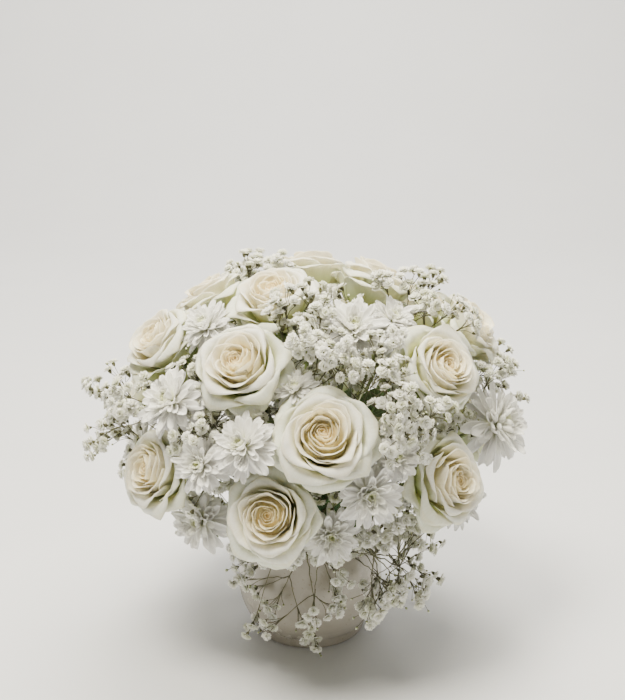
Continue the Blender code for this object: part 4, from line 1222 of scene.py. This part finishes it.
def leaf_material():
    n = Nodes("leaf_skin")
    v, t, rnd, edge = n.petal_parts()
    vein = n.math("ADD", n.math("MULTIPLY", v, 9.0), n.math("MULTIPLY", edge, -2.6))
    wave = n.math("ABSOLUTE", n.math("SUBTRACT", n.math("FRACT", vein), 0.5))
    lines = n.ramp(wave, [(0.0, (1, 1, 1)), (0.10, (0, 0, 0))])
    mid = n.ramp(edge, [(0.0, (1, 1, 1)), (0.09, (0, 0, 0))])
    both = n.blend(1.0, lines, mid, "LIGHTEN")
    noise = n.petal_noise(9, 14)
    body = n.ramp(noise, [(0.3, (0.045, 0.085, 0.022)), (0.7, (0.095, 0.155, 0.045))])
    colour = n.blend(both, body, (0.14, 0.25, 0.08))
    n.link(colour, n.p.inputs["Base Color"])
    n.link(n.ramp(noise, [(0.2, (0.36,) * 3), (0.8, (0.52,) * 3)]), n.p.inputs["Roughness"])
    n.p.inputs["Subsurface Weight"].default_value = 0.1
    n.p.inputs["Subsurface Radius"].default_value = (0.7, 1.0, 0.4)
    n.p.inputs["Subsurface Scale"].default_value = 0.001
    n.bump(both, 0.5, 0.0006)
    return n.m


def ceramic_material():
    n = Nodes("bowl_glaze")
    co = n.new("ShaderNodeTexCoord")
    cloud = n.new("ShaderNodeTexNoise", in_Scale=16.0, in_Detail=5.0, in_Roughness=0.6)
    n.link(co.outputs["Object"], cloud.inputs["Vector"])
    speck = n.new("ShaderNodeTexNoise", in_Scale=420.0, in_Detail=2.0)
    n.link(co.outputs["Object"], speck.inputs["Vector"])
    colour = n.ramp(cloud.outputs[0], [(0.30, (0.385, 0.355, 0.30)), (0.55, (0.445, 0.415, 0.36)), (0.75, (0.49, 0.465, 0.41))])
    dots = n.ramp(speck.outputs[0], [(0.27, (0.72, 0.68, 0.60)), (0.34, (1, 1, 1))])
    colour = n.blend(0.7, colour, dots, "MULTIPLY")
    n.link(colour, n.p.inputs["Base Color"])
    n.link(n.ramp(cloud.outputs[0], [(0.3, (0.22,) * 3), (0.7, (0.34,) * 3)]), n.p.inputs["Roughness"])
    n.p.inputs["Coat Weight"].default_value = 0.35
    n.p.inputs["Coat Roughness"].default_value = 0.12
    # faint rings left by throwing
    sep = n.new("ShaderNodeSeparateXYZ")
    n.link(co.outputs["Object"], sep.inputs[0])
    rings = n.math("SINE", n.math("ADD", n.math("MULTIPLY", sep.outputs[2], 1500.0), n.math("MULTIPLY", cloud.outputs[0], 5.0)))
    n.bump(n.math("ADD", n.math("MULTIPLY", rings, 0.25), cloud.outputs[0]), 0.16, 0.0006)
    return n.m


def foam_material():
    n = Nodes("foam_cells")
    co = n.new("ShaderNodeTexCoord")
    cells = n.new("ShaderNodeTexVoronoi", in_Scale=900.0)
    n.link(co.outputs["Object"], cells.inputs["Vector"])
    cloud = n.new("ShaderNodeTexNoise", in_Scale=60.0, in_Detail=4.0)
    n.link(co.outputs["Object"], cloud.inputs["Vector"])
    colour = n.ramp(cloud.outputs[0], [(0.3, (0.045, 0.11, 0.045)), (0.7, (0.10, 0.20, 0.08))])
    n.link(colour, n.p.inputs["Base Color"])
    n.link(n.ramp(cells.outputs[0], [(0.0, (0.80,) * 3), (1.0, (0.98,) * 3)]), n.p.inputs["Roughness"])
    n.bump(cells.outputs[0], 0.7, 0.001)
    return n.m


def floor_material():
    n = Nodes("floor_paint")
    co = n.new("ShaderNodeTexCoord")
    noise = n.new("ShaderNodeTexNoise", in_Scale=6.0, in_Detail=2.0)
    n.link(co.outputs["Object"], noise.inputs["Vector"])
    n.link(n.ramp(noise.outputs[0], [(0.3, (0.675, 0.69, 0.735)), (0.7, (0.69, 0.705, 0.75))]), n.p.inputs["Base Color"])
    n.p.inputs["Roughness"].default_value = 0.7
    return n.m


# ---------------------------------------------------------------- the studio
def studio():
    scene = bpy.context.scene
    cam = bpy.data.cameras.new("camera")
    cam.lens = 65
    cam.sensor_width = 36
    co = bpy.data.objects.new("camera", cam)
    scene.collection.objects.link(co)
    co.location = CAMERA_AT
    co.rotation_euler = (Vector(CAMERA_AIM) - Vector(CAMERA_AT)).to_track_quat("-Z", "Y").to_euler()
    scene.camera = co

    def area(name, at, aim, size, power, colour=(1, 1, 1)):
        l = bpy.data.lights.new(name, "AREA")
        l.shape = "DISK"
        l.size = size
        l.energy = power
        l.color = colour
        o = bpy.data.objects.new(name, l)
        scene.collection.objects.link(o)
        o.location = at
        o.rotation_euler = (Vector(aim) - Vector(at)).to_track_quat("-Z", "Y").to_euler()

    area("key", (-0.42, -0.42, 1.62), (0, 0, 0.22), 0.60, 51.0, (1.0, 0.925, 0.745))
    area("top", (0.22, 0.10, 1.65), (0, 0, 0.22), 1.0, 34.0, (1.0, 0.93, 0.76))
    area("fill", (1.2, -1.0, 0.75), (0, 0, 0.18), 1.2, 1.2, (1.0, 0.94, 0.80))
    area("backdrop", (0.0, 1.0, 2.2), (0, 2.3, 0.7), 1.4, 85.0, (1.0, 0.95, 0.83))
    world = bpy.data.worlds.new("world")
    scene.world = world
    world.use_nodes = True
    bg = world.node_tree.nodes["Background"]
    bg.inputs[0].default_value = (1.0, 0.93, 0.76, 1)
    bg.inputs[1].default_value = 0.30
    # floor that curves up into a backdrop
    verts, faces = [], []
    rows = [(-2.6, -0.0002), (-1.0, -0.0002), (0.6, -0.0002), (1.4, -0.0002)] + [
        (1.4 + 0.9 * math.sin(a), -0.0002 + 0.9 * (1 - math.cos(a))) for a in [math.pi / 2 * i / 12 for i in range(1, 13)]] + [(2.3, 3.2)]
    for y, z in rows:
        for x in (-3.4, -1.2, 1.2, 3.4):
            verts.append((x, y, z))
    for i in range(len(rows) - 1):
        for k in range(3):
            a = i * 4 + k
            faces.append((a, a + 1, a + 5, a + 4))
    me = bpy.data.meshes.new("floor")
    me.from_pydata(verts, [], faces)
    me.shade_smooth()
    me.materials.append(floor_material())
    fl = bpy.data.objects.new("floor", me)
    scene.collection.objects.link(fl)


# sprays at the sides, which are the fullest
DENSE = ("babys_breath_04", "babys_breath_05")
CAMERA_AT = (0.0, -0.92654, 0.52823)
CAMERA_AIM = (0.00195, 0.0, 0.23434)


def main():
    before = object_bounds()
    LIMIT[:] = [Vector(before[0]), Vector(before[1])]
    # the stem and twig greens are darker than lit stems: painted shade for where they sit among the flowers, over their
    # own green
    rose_mats = [rose_material(), green_material("rose_stem_skin", (0.08, 0.11, 0.03), (0.19, 0.24, 0.08), 160.0, 0.5, 0.1)]
    mum_mats = [mum_material(), green_material("chrysanthemum_stem_skin", (0.12, 0.15, 0.05), (0.24, 0.28, 0.11), 160.0)]
    spray_mats = [floret_material(), green_material("twig_skin", (0.060, 0.060, 0.030), (0.150, 0.150, 0.080), 300.0, 0.6), bud_material()]
    leaf_mat, glaze = leaf_material(), ceramic_material()

    def finish_piece(ob, node):
        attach(ob, "root")
        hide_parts(node)

    finish_piece(make_bowl(glaze), "bowl")
    for i, row in enumerate(ROSES):
        finish_piece(make_rose(row, rose_mats, 100 + i), row[0])
    for i, row in enumerate(MUMS):
        finish_piece(make_mum(row, mum_mats, 300 + i), row[0])
    blooms, lines = occupied()
    florets = [flatten(floret_template(s)) for s in range(4)]
    bud = flatten(bud_template())
    others = []
    for i, (name, plan) in enumerate(spray_plan().items()):
        hanging = name in UNDER
        finish_piece(make_spray(name, plan, spray_mats, florets, bud, blooms, lines, 500 + i, 4 if hanging else 6, others, 24 if hanging else 60 if name in DENSE else 30), name)
    for row in LEAVES:
        finish_piece(make_leaf(row, leaf_mat), row[0])
    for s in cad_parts["floral_foam"].material_slots:
        s.material = foam_material()
    studio()


main()
